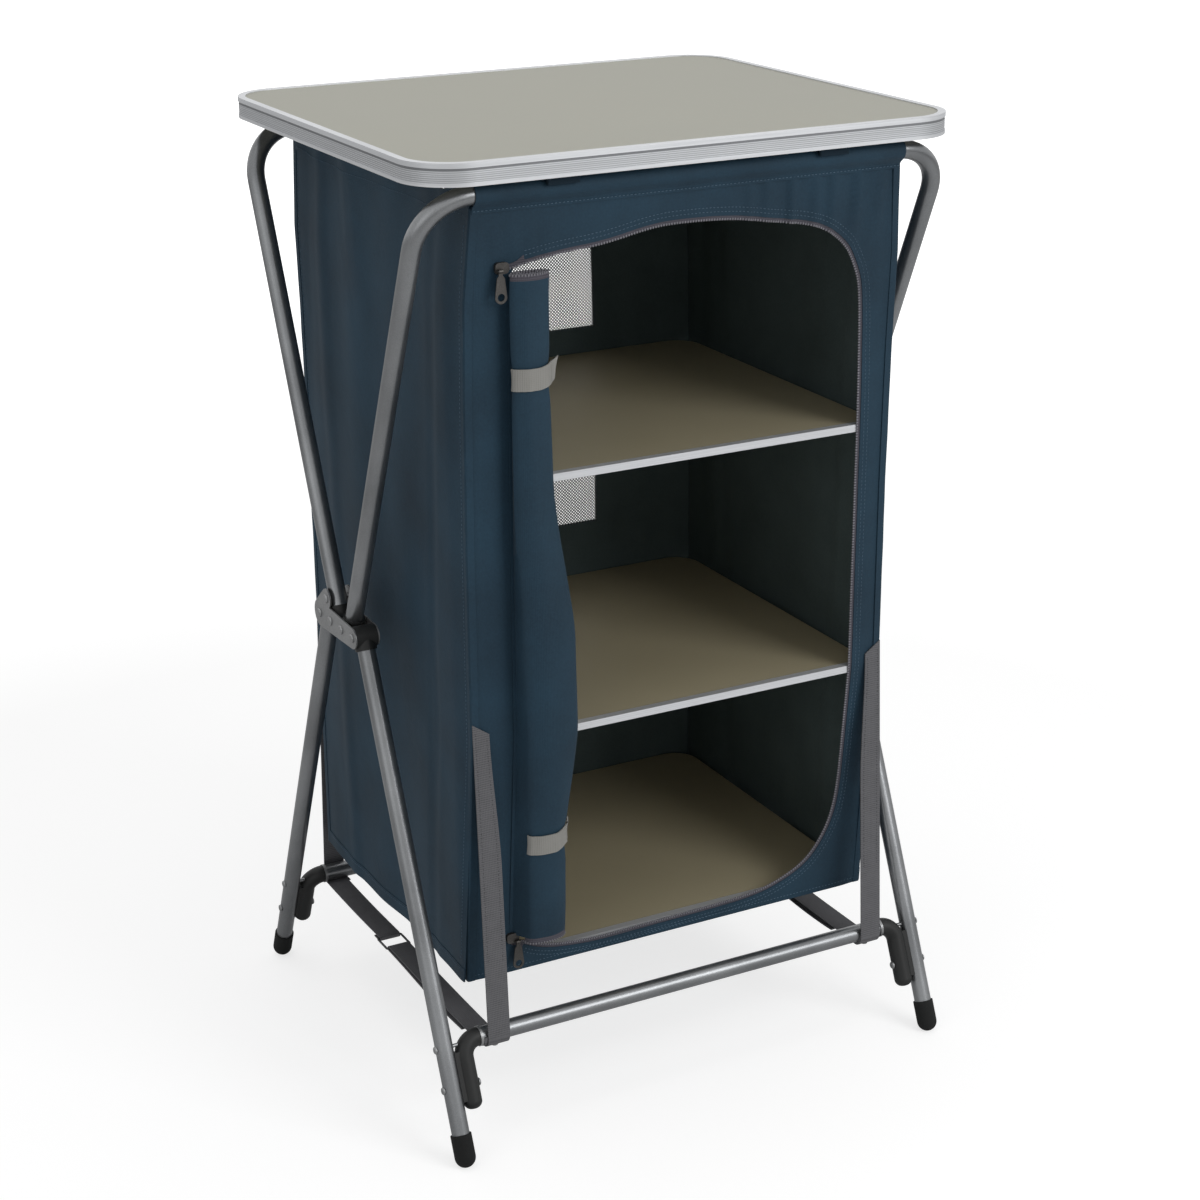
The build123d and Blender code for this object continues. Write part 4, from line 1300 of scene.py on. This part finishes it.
@dataclass
class BackWall(SewnPart):
    """Back cloth with two windows, the nets sewn over them and their bindings.

    Attributes:
        net_half: Half the width of a window.
        windows: Lower and upper edge of each window, by the name of its net.
        net_cell: Size of the net's cell, drawn coarser than the real 2.5 mm so that it shows.
        hole: Half a hole's diagonal as a share of the cell.
        binding: Width of the cloth binding round a window.
        overlap: How far it reaches over the window.
    """

    net_half: float = 0.1167
    windows: tuple[tuple[str, float, float], ...] = (("net_upper", 0.744, 0.934), ("net_lower", 0.506, 0.690))
    net_cell: float = 0.0038
    hole: float = 0.283
    binding: float = 0.008
    overlap: float = 0.0015

    def ripple(self, x: float, z: float) -> float:
        """How far the back cloth stands out, always flat beside the nets.

        Args:
            x: Place along the back.
            z: Height.

        Returns:
            The distance.
        """
        within = 1.0 - fade(abs(x), 0.215, 0.240)
        beside, below = fade(abs(x), self.net_half, 0.17), 1.0 - fade(z, 0.40, 0.50)
        wave = 0.0012 * math.sin(x * 95.0 + 2.0 * z) + 0.0012 * noise(Vector((x * 12.0, 9.1, z * 7.0)))
        return wave * within * max(beside, below) * 0.8

    def place(self, x: float, z: float, out: float = 0.0) -> Vector:
        """Point on the middle of the back cloth, moved out of it by a distance."""
        return Vector((x, SHAPE.reach(z, True) + SHAPE.middle + self.ripple(x, z) + out, z))

    def make_panel(self) -> Piece:
        """Makes the back cloth with its two windows left open.

        Returns:
            The cloth.
        """
        edge, half = self.net_half, SHAPE.half_width
        xs = spread(-half, -edge, 22)[:-1] + spread(-edge, edge, 36)[:-1] + spread(edge, half, 22)
        (_, high_low, high_top), (_, low_low, low_top) = self.windows
        stops = (
            (SHAPE.hem, low_low, 46), (low_low, low_top, 26), (low_top, high_low, 8),
            (high_low, high_top, 26), (high_top, SHAPE.seam, 9),
        )
        zs = [z for low, high, count in stops for z in spread(low, high, count)[:-1]] + [SHAPE.seam]
        points = []
        for z in zs:
            for x in xs:
                beyond = max(abs(x) - edge, 0.0) * (SHAPE.half(z) - edge) / (half - edge)
                points.append(self.place(math.copysign(min(abs(x), edge) + beyond, x), z))
        faces = []
        for face in grid_faces(len(zs), len(xs)):
            middle = sum((points[n] for n in face), Vector()) / 4
            inside = any(low < middle.z < high for _, low, high in self.windows)
            if not (inside and abs(middle.x) < edge):
                faces.append(face[::-1])
        panel = make_piece("back_cloth", points, faces, self.finishes.cloth[Lie.FRONT])
        select_only(panel)
        bpy.ops.object.mode_set(mode="EDIT")
        bpy.ops.mesh.select_all(action="SELECT")
        bpy.ops.mesh.delete_loose()
        bpy.ops.object.mode_set(mode="OBJECT")
        apply_modifier(panel, "SOLIDIFY", thickness=SHAPE.cloth, offset=0.0, use_even_offset=True)
        smooth(panel)
        settle(panel, "cloth", "back_wall", "back_panel")
        line_inside(panel, -OUT_REAR, self.finishes.soft["lining"])
        return panel

    def make_net(self, name: str, low: float, high: float) -> None:
        """Makes one net: strands round staggered diamond holes.

        Args:
            name: Node that it stands for.
            low: Lower edge of its window.
            high: Upper edge.
        """
        size = (2 * self.net_half, high - low)
        columns, rows = (round(side / self.net_cell) for side in size)
        wide, tall = size[0] / columns, size[1] / rows
        spots: dict[tuple[int, int], int] = {}
        points: Points = []

        def spot(u: float, v: float) -> int:
            """Index of the point at a place counted in cells."""
            key = (round(u * 1000), round(v * 1000))
            if key not in spots:
                spots[key] = len(points)
                points.append(self.place(-self.net_half + u * wide, low + v * tall))
            return spots[key]

        h, faces = self.hole, []
        cut = 0.5 - h
        for cell in range(columns * rows):
            u, v = cell // rows + 0.5, cell % rows + 0.5
            tips = [spot(u, v + h), spot(u + h, v), spot(u, v - h), spot(u - h, v)]
            rim = [
                (spot(u - cut, v + 0.5), spot(u + cut, v + 0.5)),
                (spot(u + 0.5, v + cut), spot(u + 0.5, v - cut)),
                (spot(u + cut, v - 0.5), spot(u - cut, v - 0.5)),
                (spot(u - 0.5, v - cut), spot(u - 0.5, v + cut)),
            ]
            for n, (first, second) in enumerate(rim):
                after = (n + 1) % 4
                faces += [(tips[n], first, second), (tips[n], second, rim[after][0], tips[after])]
        net = make_piece(f"{name}_mesh", points, faces, self.finishes.soft["net"])
        apply_modifier(net, "SOLIDIFY", thickness=0.0004, offset=0.0)
        settle(net, "net", "back_wall", name)

    def make_binding(self, low: float, high: float) -> tuple[Piece, list[Matrix]]:
        """Makes the cloth binding round a window and the stitches that hold it.

        Args:
            low: Lower edge of the window.
            high: Upper edge.

        Returns:
            The binding, and a matrix for each stitch.
        """
        loops = []
        for grow in (-self.overlap, self.binding - self.overlap):
            x, foot, top = self.net_half + grow, low - grow, high + grow
            loops.append(flat([(-x, foot), (x, foot), (x, top), (-x, top)]))
        rows = []
        for share in spread(0.0, 1.0, 4):
            ring = [a.lerp(b, share) for a, b in zip(*loops)]
            line = [p for n in range(4) for p in evened([ring[n], ring[(n + 1) % 4]], 30)[:-1]]
            rise = 0.0010 if 0.0 < share < 1.0 else 0.0007
            rows.append([self.place(p.x, p.y, rise) for p in line])
        binding = make_sheet("binding", rows, 0.0005, self.finishes.cloth[Lie.FRONT], closed=True)
        middle = [a.lerp(b, 0.5) for a, b in zip(*loops)]
        places = []
        for n in range(4):
            side = evened([middle[n], middle[(n + 1) % 4]], 40)
            places += self.stitching.row([self.place(p.x, p.y, 0.0014) for p in side], OUT_REAR)
        return binding, places

    def build(self) -> None:
        """Builds the back wall, its nets and its seams."""
        panel = self.make_panel()
        bindings, places = [], []
        for name, low, high in self.windows:
            self.make_net(name, low, high)
            binding, stitches = self.make_binding(low, high)
            bindings.append(binding)
            places += stitches
        z, half = HEM_STITCHES
        lines = [[self.place(x, z, STITCH_RISE) for x in spread(-half, half, 90)]]
        for side in (-1, 1):
            heights = spread(0.172, 0.985, 120)
            lines.append([self.place(side * (SHAPE.half(z) - 0.0085), z, STITCH_RISE) for z in heights])
        for line in lines:
            places += self.stitching.row(line, OUT_REAR)
        bound = joined(bindings, "net_bindings")
        settle(bound, "cloth", "back_wall")
        self.stitching.make("back_stitches", places, "back_wall")


# Sleeves round the top bars


@dataclass
class BarSleeves(SewnPart):
    """Cloth sleeves that hang the front and back walls on the top bars.

    Attributes:
        bar_y: Distance of the bars from the middle.
        bar_z: Their height.
        radius: Radius of the sleeve's middle.
        half: Half the length of a sleeve.
        foot: Height of the sleeve's lower edge on the outer side.
    """

    bar_y: float = 0.2247
    bar_z: float = 1.005
    radius: float = 0.0104
    half: float = 0.2385
    foot: float = 0.9865

    def section(self, x: float, rear: bool) -> list[tuple[float, float]]:
        """Side view of the sleeve at a place: out of the middle and up.

        Args:
            x: Place along the bar.
            rear: Whether it is at the back.

        Returns:
            Points from its outer foot round to its inner edge.
        """
        wall = SHAPE.reach(SHAPE.seam, rear) + SHAPE.middle
        slack = 0.0006 * noise(Vector((x * 22.0, 5.0 if rear else 1.0, 0.0)))
        outer = ((0.0011, 0.0), (0.0013 + slack, 0.004), (0.0035 + slack, 0.0067))
        inner = ((-0.0028, 0.007), (-0.0012, 0.004), (-0.0010, 0.002))
        ring = [
            (self.bar_y + self.radius * math.cos(turn), self.bar_z + self.radius * math.sin(turn))
            for turn in map(math.radians, spread(-50.0, 230.0, 23))
        ]
        before, after = ([(wall + y, self.foot + z) for y, z in part] for part in (outer, inner))
        return before + ring + after

    def make(self, rear: bool) -> None:
        """Makes one sleeve with the row of stitches along its foot.

        Args:
            rear: Whether it is at the back.
        """
        end = 1 if rear else -1
        side = "rear" if rear else "front"
        name, body = f"{side}_sleeve", "back_wall" if rear else "front_wall"
        xs = spread(-self.half, self.half, 120)
        rows = [[Vector((x, end * y, z)) for y, z in self.section(x, rear)] for x in xs]
        sleeve = make_sheet(f"{name}_cloth", rows, 0.0008, self.finishes.cloth[Lie.FRONT])
        settle(sleeve, "cloth", body, name)
        wall = SHAPE.reach(SHAPE.seam, rear) + SHAPE.middle
        places = []
        for height, rise in ((0.0025, 0.0019), (0.0052, 0.0021)):
            y, z = end * (wall + rise), self.foot + height
            line = [Vector((x, y, z)) for x in spread(-self.half, self.half, 100)]
            places += self.stitching.row(line, OUT_REAR if rear else OUT_FRONT)
        self.stitching.make(f"{name}_stitches", places, body)

    def build(self) -> None:
        """Builds both sleeves."""
        for rear in (False, True):
            self.make(rear)


# Rolled door and its ties


@dataclass(frozen=True)
class Tie:
    """Where a tie goes round the rolled door.

    Attributes:
        height: Height of its middle.
        start: Turn round the roll where it comes out of a fold.
        lift: How far the free end rises.
        reach: How far the free end stands off the roll.
        point: How much farther its upper corner runs.
    """

    height: float
    start: float
    lift: float
    reach: float
    point: float


@dataclass
class RolledDoor(SewnPart):
    """The door, rolled up beside its opening, with its half of the zip and its two ties.

    Attributes:
        sections: Height, X of the middle, half width and half depth of the roll from below upwards.
        turns: Turns of cloth in the roll.
        core: Size of the innermost turn as a share of the outermost.
        rest: How far the roll's back stays off the wall's face.
        sink: How far the roll's oval is cut flat by the wall.
        steps: Points along the rolled cloth.
        ties: The upper and the lower tie.
        tie_half: Half the width of a tie.
    """

    sections: tuple[tuple[float, float, float, float], ...] = (
        (0.211, -0.1630, 0.0250, 0.0130), (0.338, -0.1650, 0.0240, 0.0130), (0.454, -0.1630, 0.0310, 0.0170),
        (0.552, -0.1660, 0.0310, 0.0170), (0.711, -0.1785, 0.0225, 0.0130), (0.921, -0.1825, 0.0210, 0.0110),
    )
    turns: float = 4.6
    core: float = 0.42
    rest: float = 0.0003
    sink: float = 0.0015
    steps: int = 132
    ties: tuple[Tie, ...] = (Tie(0.824, 14.0, 0.008, 0.004, 0.004), Tie(0.324, 16.0, 0.012, 0.0006, 0.0004))
    tie_half: float = 0.011

    def section(self, z: float) -> tuple[float, float, float]:
        """Middle, half width and half depth of the roll at a height, eased between its sections.

        Args:
            z: Height.

        Returns:
            The three of them.
        """
        for low, high in zip(self.sections, self.sections[1:]):
            if z <= high[0]:
                break
        straight = min(max((z - low[0]) / (high[0] - low[0]), 0.0), 1.0)
        share = fade(z, low[0], high[0]) * 0.5 + 0.5 * straight
        x, wide, deep = (a + (b - a) * share for a, b in zip(low[1:], high[1:]))
        return x, wide, deep

    def around(self, z: float, degrees: float, scale: float, out: float = 0.0) -> Vector:
        """Point of the roll.

        Args:
            z: Height.
            degrees: Turn from its left side, over its front, to its right side and round its back.
            scale: Share of the outermost turn's size.
            out: Distance outwards.

        Returns:
            The point.
        """
        x, wide, deep = self.section(z)
        turn = math.radians(degrees)
        across, front = math.cos(turn), math.sin(turn)
        behind = front < 0.0
        middle = self.sink - deep - (SHAPE.reach(z) + 2 * SHAPE.middle)
        depth = deep if front > 0.0 else deep - self.sink - self.rest - 0.0004
        plan = Vector((across, front + scale, 0.0))
        rough = noise(plan * 2.2 + Vector((0.0, 0.0, z * 6.0)))
        rough += 0.4 * noise(plan * 5.0 + Vector((3.0, 0.0, z * 14.0)))
        drawn = max(hump(z, tie.height, 0.03) for tie in self.ties)
        size = scale * (1.0 + 0.06 * rough * (0.25 if behind else 1.0)) * (1.0 - 0.1 * drawn)
        y = middle - (depth * min(size, 1.0 if behind else 2.0) + out) * front
        return Vector((x - (wide * size + out) * across, y, z))

    def spiral(self, z: float) -> Points:
        """Section of the rolled cloth: from the edge of the opening round and into the roll.

        Args:
            z: Height.

        Returns:
            Its points.
        """
        face = SHAPE.reach(z) + 2 * SHAPE.middle
        line = [Vector((-0.1985, -(face + 0.0003), z)), Vector((-0.1950, -(face + 0.0004), z))]
        total = 360.0 * self.turns
        for degrees in spread(12.0, total, self.steps):
            line.append(self.around(z, degrees, 1.0 - (1.0 - self.core) * (degrees / total)))
        return line

    def make_roll(self) -> None:
        """Makes the rolled cloth with the zip's tape and teeth at both its ends."""
        low, high = self.sections[0][0], self.sections[-1][0]
        rows = [self.spiral(z) for z in spread(low, high, 100)]
        roll = make_sheet("rolled_door", rows, 0.0006, self.finishes.cloth[Lie.FRONT])
        strips, places = [], []
        for start, end in ((high - 0.001, high + 0.0055), (low + 0.001, low - 0.0055)):
            base = self.spiral(start)[2:]
            rows = [[Vector((p.x, p.y, z)) for p in base] for z in spread(start, end, 4)]
            strips.append(make_sheet("roll_zip", rows, 0.0005, self.finishes.soft["zip_tape"]))
            line = evened(rows[-1], int(length_of(rows[-1]) / TOOTH_PITCH))
            up = Vector((0.0, 0.0, math.copysign(1.0, end - start)))
            places += [basis(a, b - a, (b - a).cross(up)) for a, b in zip(line, line[1:])]
        tape = joined(strips, "roll_zip_tape")
        teeth = copies("roll_zip_teeth", tooth_mesh(), places, self.finishes.soft["teeth"])
        settle(roll, "cloth", "front_wall", "door_roll")
        for piece in (tape, teeth):
            settle(piece, "zip_tape", "front_wall")

    def make_tie(self, tie: Tie) -> Piece:
        """Makes one tie: a band over the roll whose free end stands off on the right.

        Args:
            tie: Where it goes round the roll.

        Returns:
            The band.
        """
        rows = []
        for across in spread(-1.0, 1.0, 9):
            z = tie.height + across * self.tie_half
            row = [self.around(z, tie.start - 4.0, 1.0, -0.0008)]
            for degrees in spread(tie.start, 158.0, 30):
                rise = tie.lift * fade(degrees, 95.0, 170.0) * 0.45
                row.append(self.around(z, degrees, 1.0, 0.0016) + Vector((0.0, 0.0, rise)))
            last = row[-1]
            length = tie.reach + tie.point * (across + 1.0) / 2
            for share in spread(0.25, 1.0, 4):
                off = -0.002 * share + 0.003 * share * share
                row.append(last + Vector((length * share, off, tie.lift * 0.55 * share)))
            rows.append(row)
        return make_sheet("tie", rows, 0.0011, self.finishes.soft["tie_tape"])

    def build(self) -> None:
        """Builds the roll and its ties."""
        self.make_roll()
        ties = joined([self.make_tie(tie) for tie in self.ties], "door_tie_bands")
        settle(ties, "tie_tape", "front_wall", "door_ties")


# Webbing


@dataclass(frozen=True)
class Fold:
    """How a strap draws up when the frame folds: a direction, a point that stays and what is left."""

    axis: tuple[float, float, float]
    anchor: tuple[float, float, float]
    keep: float


@dataclass(frozen=True)
class StrapEnd:
    """Straps of one end of the unit.

    Attributes:
        name: Front or rear.
        end: -1 for the front, 1 for the rear.
        body: Body of the crossbar.
        upright: How the upright straps draw up.
        tension: How the tension straps draw up.
        fold_y: Where the tension straps fold round the buckle.
        tail_end: Where their doubled tail ends.
        sag: How far that tail sags.
    """

    name: str
    end: int
    body: str
    upright: Fold
    tension: Fold
    fold_y: float
    tail_end: float
    sag: float


LEAN_FRONT, LEAN_REAR = (0.0, -0.948, 0.3175), (0.0, 0.9915, 0.1302)
BUCKLE_POINT = (0.0, 0.041, 0.1085)
STRAP_ENDS = (
    StrapEnd(
        "front", -1, "rear_frame", Fold(LEAN_FRONT, (0.0, 0.1557, -0.0055), 0.598),
        Fold(LEAN_FRONT, BUCKLE_POINT, 0.353), 0.0273, -0.168, 0.006,
    ),
    StrapEnd(
        "rear", 1, "rear_lower", Fold(LEAN_REAR, (0.0, 0.0366, 0.0955), 0.167),
        Fold(LEAN_REAR, BUCKLE_POINT, 0.1315), 0.0547, 0.0687, 0.0,
    ),
)


@dataclass
class Straps(SewnPart):
    """Upright straps from the walls to the crossbars, and tension straps between the crossbars.

    Attributes:
        bar_y: Distance of the crossbars from the middle.
        bar_z: Their height.
        loop: Radius of an upright strap's middle round the crossbar.
        tension_loop: The same of a tension strap.
        width: Width of the webbing.
        thickness: Its thickness.
        steps: Places across the webbing, as shares of its width.
        upright_x: Middle of the upright straps.
        tension_xs: Middles of the left and right tension strap.
        run_z: Height of the tension straps' upper run.
        run_sag: How far that run sags.
        fold_z: Height of their fold's middle.
        fold_radius: Radius of that fold.
        wall_y: Where the upright straps start at the wall.
        top: Height of the upright straps' upper end.
        slant: How much their outer edge starts higher than their inner edge.
        turned: Share of their width that is turned under at their upper end, on the inner side.
    """

    bar_y: float = 0.21587
    bar_z: float = 0.119
    loop: float = 0.0122
    tension_loop: float = 0.0105
    width: float = 0.025
    thickness: float = 0.0014
    steps: tuple[float, ...] = (-0.5, -0.46, -0.3, -0.15, 0.0, 0.15, 0.3, 0.46, 0.5)
    upright_x: float = 0.2325
    tension_xs: tuple[float, float] = (-0.236, 0.232)
    run_z: float = 0.1085
    run_sag: float = 0.0012
    fold_z: float = 0.1062
    fold_radius: float = 0.0023
    wall_y: float = 0.20867
    top: float = 0.462
    slant: float = 0.013
    turned: float = 0.26

    def on_upright(self, side: int, end: int, step: float, share: float, out: float = 0.0) -> Vector:
        """Point on an upright strap.

        Args:
            side: -1 for the left strap, 1 for the right.
            end: -1 for the front, 1 for the rear.
            step: Place across it, as a share of its width.
            share: Place down its length.
            out: Distance outwards.

        Returns:
            The point.
        """
        inner = step - math.copysign(0.5, side)
        across = step - self.turned * (1.0 - fade(share, 0.0, 0.45)) * inner
        y = self.wall_y + (self.bar_y + self.loop - self.wall_y) * share + out
        z = self.top + (self.bar_z - self.top) * share + side * step * self.slant * (1.0 - share)
        return Vector((side * self.upright_x + across * self.width, end * y, z))

    def ribbon(self, line: Sequence[tuple[float, float]], centre: float, lie: Lie) -> Piece:
        """Makes a strap from its side view.

        Args:
            line: Middle of the strap, Y and Z.
            centre: Its place along X.
            lie: How it lies, for its ribs.

        Returns:
            The strap.
        """
        rows = [[Vector((centre + step * self.width, y, z)) for step in self.steps] for y, z in line]
        return make_sheet("strap", rows, self.thickness, self.finishes.webbing[lie])

    def arc(self, end: int, radius: float, start: float) -> list[tuple[float, float]]:
        """Points round a crossbar, from an angle at its outer side to straight below it.

        Args:
            end: -1 for the front, 1 for the rear.
            radius: Radius of the strap's middle.
            start: The first angle in degrees.

        Returns:
            Their Y and Z.
        """
        return [
            (end * (self.bar_y + radius * math.cos(turn)), self.bar_z - radius * math.sin(turn))
            for turn in map(math.radians, spread(start, 90.0, 20))
        ]

    def fold_away(self, piece: Piece, fold: Fold, *nodes: str) -> None:
        """Lets the run of a strap ride on the cabinet, with a mesh of its own."""
        settle(piece, "webbing", "cabinet", *nodes)
        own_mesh(piece)

    def make_upright(self, at: StrapEnd) -> None:
        """Makes both upright straps of one end: their runs, and the loops under the crossbar.

        Args:
            at: The straps' end.
        """
        name, end, webbing = f"{at.name}_upright", at.end, self.finishes.webbing[Lie.FRONT]
        runs, loops, places = [], [], []
        for side in (-1, 1):
            rows = [
                [self.on_upright(side, end, step, share) for step in self.steps]
                for share in spread(0.0, 1.0, 90)
            ]
            runs.append(make_sheet("strap", rows, self.thickness, webbing))
            for step in (-0.34, 0.34):
                row = [self.on_upright(side, end, step, share, 0.0009) for share in spread(0.02, 0.75, 60)]
                places += self.stitching.row(row, Vector((0.0, float(end), 0.0)))
            foot = self.bar_z - self.loop
            under = [(end * (self.bar_y - step), foot) for step in (0.002, 0.004, 0.006, 0.008)]
            line = self.arc(end, self.loop, -3.0) + under
            loops.append(self.ribbon(line, side * self.upright_x, Lie.LEVEL))
        run, loop = joined(runs, f"{name}_runs"), joined(loops, f"{name}_loops")
        stitches = copies(f"{name}_stitches", self.stitching.pattern, places, webbing)
        self.fold_away(run, at.upright, f"{name}_webs")
        self.fold_away(stitches, at.upright)
        settle(loop, "webbing", at.body)

    def make_tension(self, at: StrapEnd) -> None:
        """Makes one end's two tension straps: their runs with the doubled tail, and their loops.

        Args:
            at: The straps' end.
        """
        name, end, radius = f"{at.name}_tension", at.end, self.fold_radius
        runs, loops = [], []
        for centre in self.tension_xs:
            ys, shares = spread(end * self.bar_y, at.fold_y, 60), spread(0.0, 1.0, 60)
            line = [(y, self.run_z - self.run_sag * math.sin(math.pi * n)) for y, n in zip(ys, shares)]
            for turn in map(math.radians, spread(90.0, -90.0, 11)[1:-1]):
                y = at.fold_y - end * radius * math.cos(turn)
                line.append((y, self.fold_z + radius * math.sin(turn)))
            for y, share in zip(spread(at.fold_y, at.tail_end, 50), spread(0.0, 1.0, 50)):
                sag = at.sag * math.sin(math.pi * 0.9 * share) * share
                line.append((y, self.fold_z - radius - sag))
            runs.append(self.ribbon(line, centre, Lie.LEVEL))
            loops.append(self.ribbon(self.arc(end, self.tension_loop, -10.0), centre, Lie.LEVEL))
        run, loop = joined(runs, f"{name}_runs"), joined(loops, f"{name}_loops")
        self.fold_away(run, at.tension, f"{name}_webs")
        settle(loop, "webbing", at.body)

    def build(self) -> None:
        """Builds all straps."""
        for make in (self.make_upright, self.make_tension):
            for at in STRAP_ENDS:
                make(at)


# Carried-over parts


@dataclass
class FrameFinishes:
    """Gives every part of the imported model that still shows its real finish.

    Attributes:
        finishes: The unit's materials.
        rules: Words in a part's name and the finish that it takes, the first that fits.
    """

    finishes: Finishes
    rules: tuple[tuple[str, str], ...] = (
        ("table_board", "table_laminate"), ("table_rim", "table_edge"), ("table_clips", "clip_nylon"),
        ("zip_slider", "zip_metal"), ("zip_pull", "zip_metal"), ("tension_buckles", "buckle_metal"),
        ("hub_", "steel"), ("_trim", "aluminium"), ("_screws", "steel"), ("_knuckles", "black_plastic"),
        ("_feet", "foot_rubber"), ("_ferrules", "steel"), ("_elbow_", "black_plastic"),
        ("shelf_", "shelf_board"), ("", "tube"),
    )

    def build(self) -> None:
        """Assigns the finishes."""
        for name, node in frame["nodes"].items():
            finish = next(finish for words, finish in self.rules if words in name)
            for slot in node.material_slots:
                slot.material = self.finishes.hard[finish]


# Camera, light and floor


@dataclass
class Studio:
    """Pale studio with the camera at the photograph's angle.

    Attributes:
        eye: Place of the camera.
        yaw: Degrees that it is turned to the right of +Y.
        pitch: Degrees that it looks down.
        roll: Degrees that it is rolled.
        lens: Focal length in millimetres on a 36 mm sensor.
        ambient: Light from all sides.
        aim: What the lamps point at.
        lamps: Name, place, width of the square face and power in watts of each soft lamp.
        floor_half: Half the width of the floor.
        floor_fade: Distances between which the floor goes over into the white.
    """

    eye: tuple[float, float, float] = (-1.1895, -2.2765, 1.4395)
    yaw: float = 27.807
    pitch: float = 20.264
    roll: float = -0.451
    lens: float = 73.80
    ambient: float = 0.45
    aim: tuple[float, float, float] = (0.0, 0.0, 0.6)
    lamps: tuple[tuple[str, tuple[float, float, float], float, float], ...] = (
        ("key", (1.3, -2.7, 2.0), 1.6, 40.0), ("top", (-0.2, 0.2, 3.2), 2.0, 13.0),
        ("fill", (-2.6, -1.2, 1.4), 1.8, 5.0),
    )
    floor_half: float = 30.0
    floor_fade: tuple[float, float] = (1.2, 3.5)

    def make_camera(self) -> None:
        """Sets up the camera."""
        yaw, pitch, roll = (math.radians(a) for a in (self.yaw, self.pitch, self.roll))
        ahead = Vector((math.sin(yaw) * math.cos(pitch), math.cos(yaw) * math.cos(pitch), -math.sin(pitch)))
        right = Vector((math.cos(yaw), -math.sin(yaw), 0.0))
        up = right.cross(ahead)
        across = math.cos(roll) * right + math.sin(roll) * up
        upright = math.cos(roll) * up - math.sin(roll) * right
        data = bpy.data.cameras.new("camera")
        data.lens, data.sensor_width = self.lens, 36.0
        data.clip_start, data.clip_end = 0.1, 100.0
        camera = bpy.data.objects.new("camera", data)
        matrix = Matrix((across, upright, -ahead)).transposed().to_4x4()
        matrix.translation = Vector(self.eye)
        camera.matrix_world = matrix
        bpy.context.scene.collection.objects.link(camera)
        bpy.context.scene.camera = camera

    def make_lamps(self) -> None:
        """Adds the soft lamps."""
        for name, place, size, power in self.lamps:
            data = bpy.data.lights.new(name, "AREA")
            data.energy, data.size = power, size
            lamp = bpy.data.objects.new(name, data)
            lamp.location = place
            lamp.rotation_euler = (Vector(self.aim) - Vector(place)).to_track_quat("-Z", "Y").to_euler()
            bpy.context.scene.collection.objects.link(lamp)

    def make_world(self) -> None:
        """Makes a sky that is white to look at and in reflections, and dimmer as a lamp."""
        world = bpy.data.worlds.new("studio")
        world.use_nodes = True
        bpy.context.scene.world = world
        world.node_tree.nodes.clear()
        add = partial(add_node, world.node_tree)
        seen = add("LightPath", out="Is Camera Ray")
        for kind in ("Is Glossy Ray", "Is Transmission Ray"):
            seen = add("Math", {0: seen, 1: add("LightPath", out=kind)}, operation="MAXIMUM")
        strength = add("MapRange", {"Value": seen, "To Min": self.ambient, "To Max": 1.0})
        sky = add("Background", {"Color": linear("#ffffff"), "Strength": strength})
        add("OutputWorld", {"Surface": sky})

    def make_floor(self) -> None:
        """Makes the pale floor, which shows the unit's shadow and runs into the white."""
        material = bpy.data.materials.new("studio_floor")
        material.use_nodes = True
        material.node_tree.nodes.clear()
        add = partial(add_node, material.node_tree)
        lit = add("BsdfDiffuse", {"Color": linear("#f4f4f4")})
        glow = add("Emission", {"Color": linear("#ffffff"), "Strength": 1.4})
        far = add("VectorMath", {0: add("NewGeometry", out="Position")}, out="Value", operation="LENGTH")
        near, end = self.floor_fade
        white = add(
            "MapRange", {"Value": far, "From Min": near, "From Max": end, "To Min": 0.5, "To Max": 1.0}
        )
        share = add("Math", {0: add("LightPath", out="Is Camera Ray"), 1: white}, operation="MULTIPLY")
        add("OutputMaterial", {"Surface": add("MixShader", {0: share, 1: lit, 2: glow})})
        half = self.floor_half
        points = flat([(-half, -half), (half, -half), (half, half), (-half, half)])
        floor = make_piece("studio_floor", points, [(0, 1, 2, 3)], material)

    def build(self) -> None:
        """Builds the studio."""
        self.make_camera()
        self.make_world()
        self.make_floor()
        self.make_lamps()
        bpy.context.scene.view_settings.view_transform = "Standard"


def main() -> None:
    logging.basicConfig(level=logging.INFO, format="%(message)s")
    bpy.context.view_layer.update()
    Studio().build()
    finishes = make_finishes()
    FrameFinishes(finishes).build()
    stitching = Stitching(finishes.soft["thread"])
    for part in (FrontWall, SideWalls, BackWall, BarSleeves, RolledDoor, Straps):
        before = set(bpy.data.objects)
        part(finishes, stitching).build()
        made = [piece.name for piece in bpy.data.objects if piece not in before]
        LOG.info("%s: %s", part.__name__, ", ".join(sorted(made)))


if __name__ == "__main__":
    main()
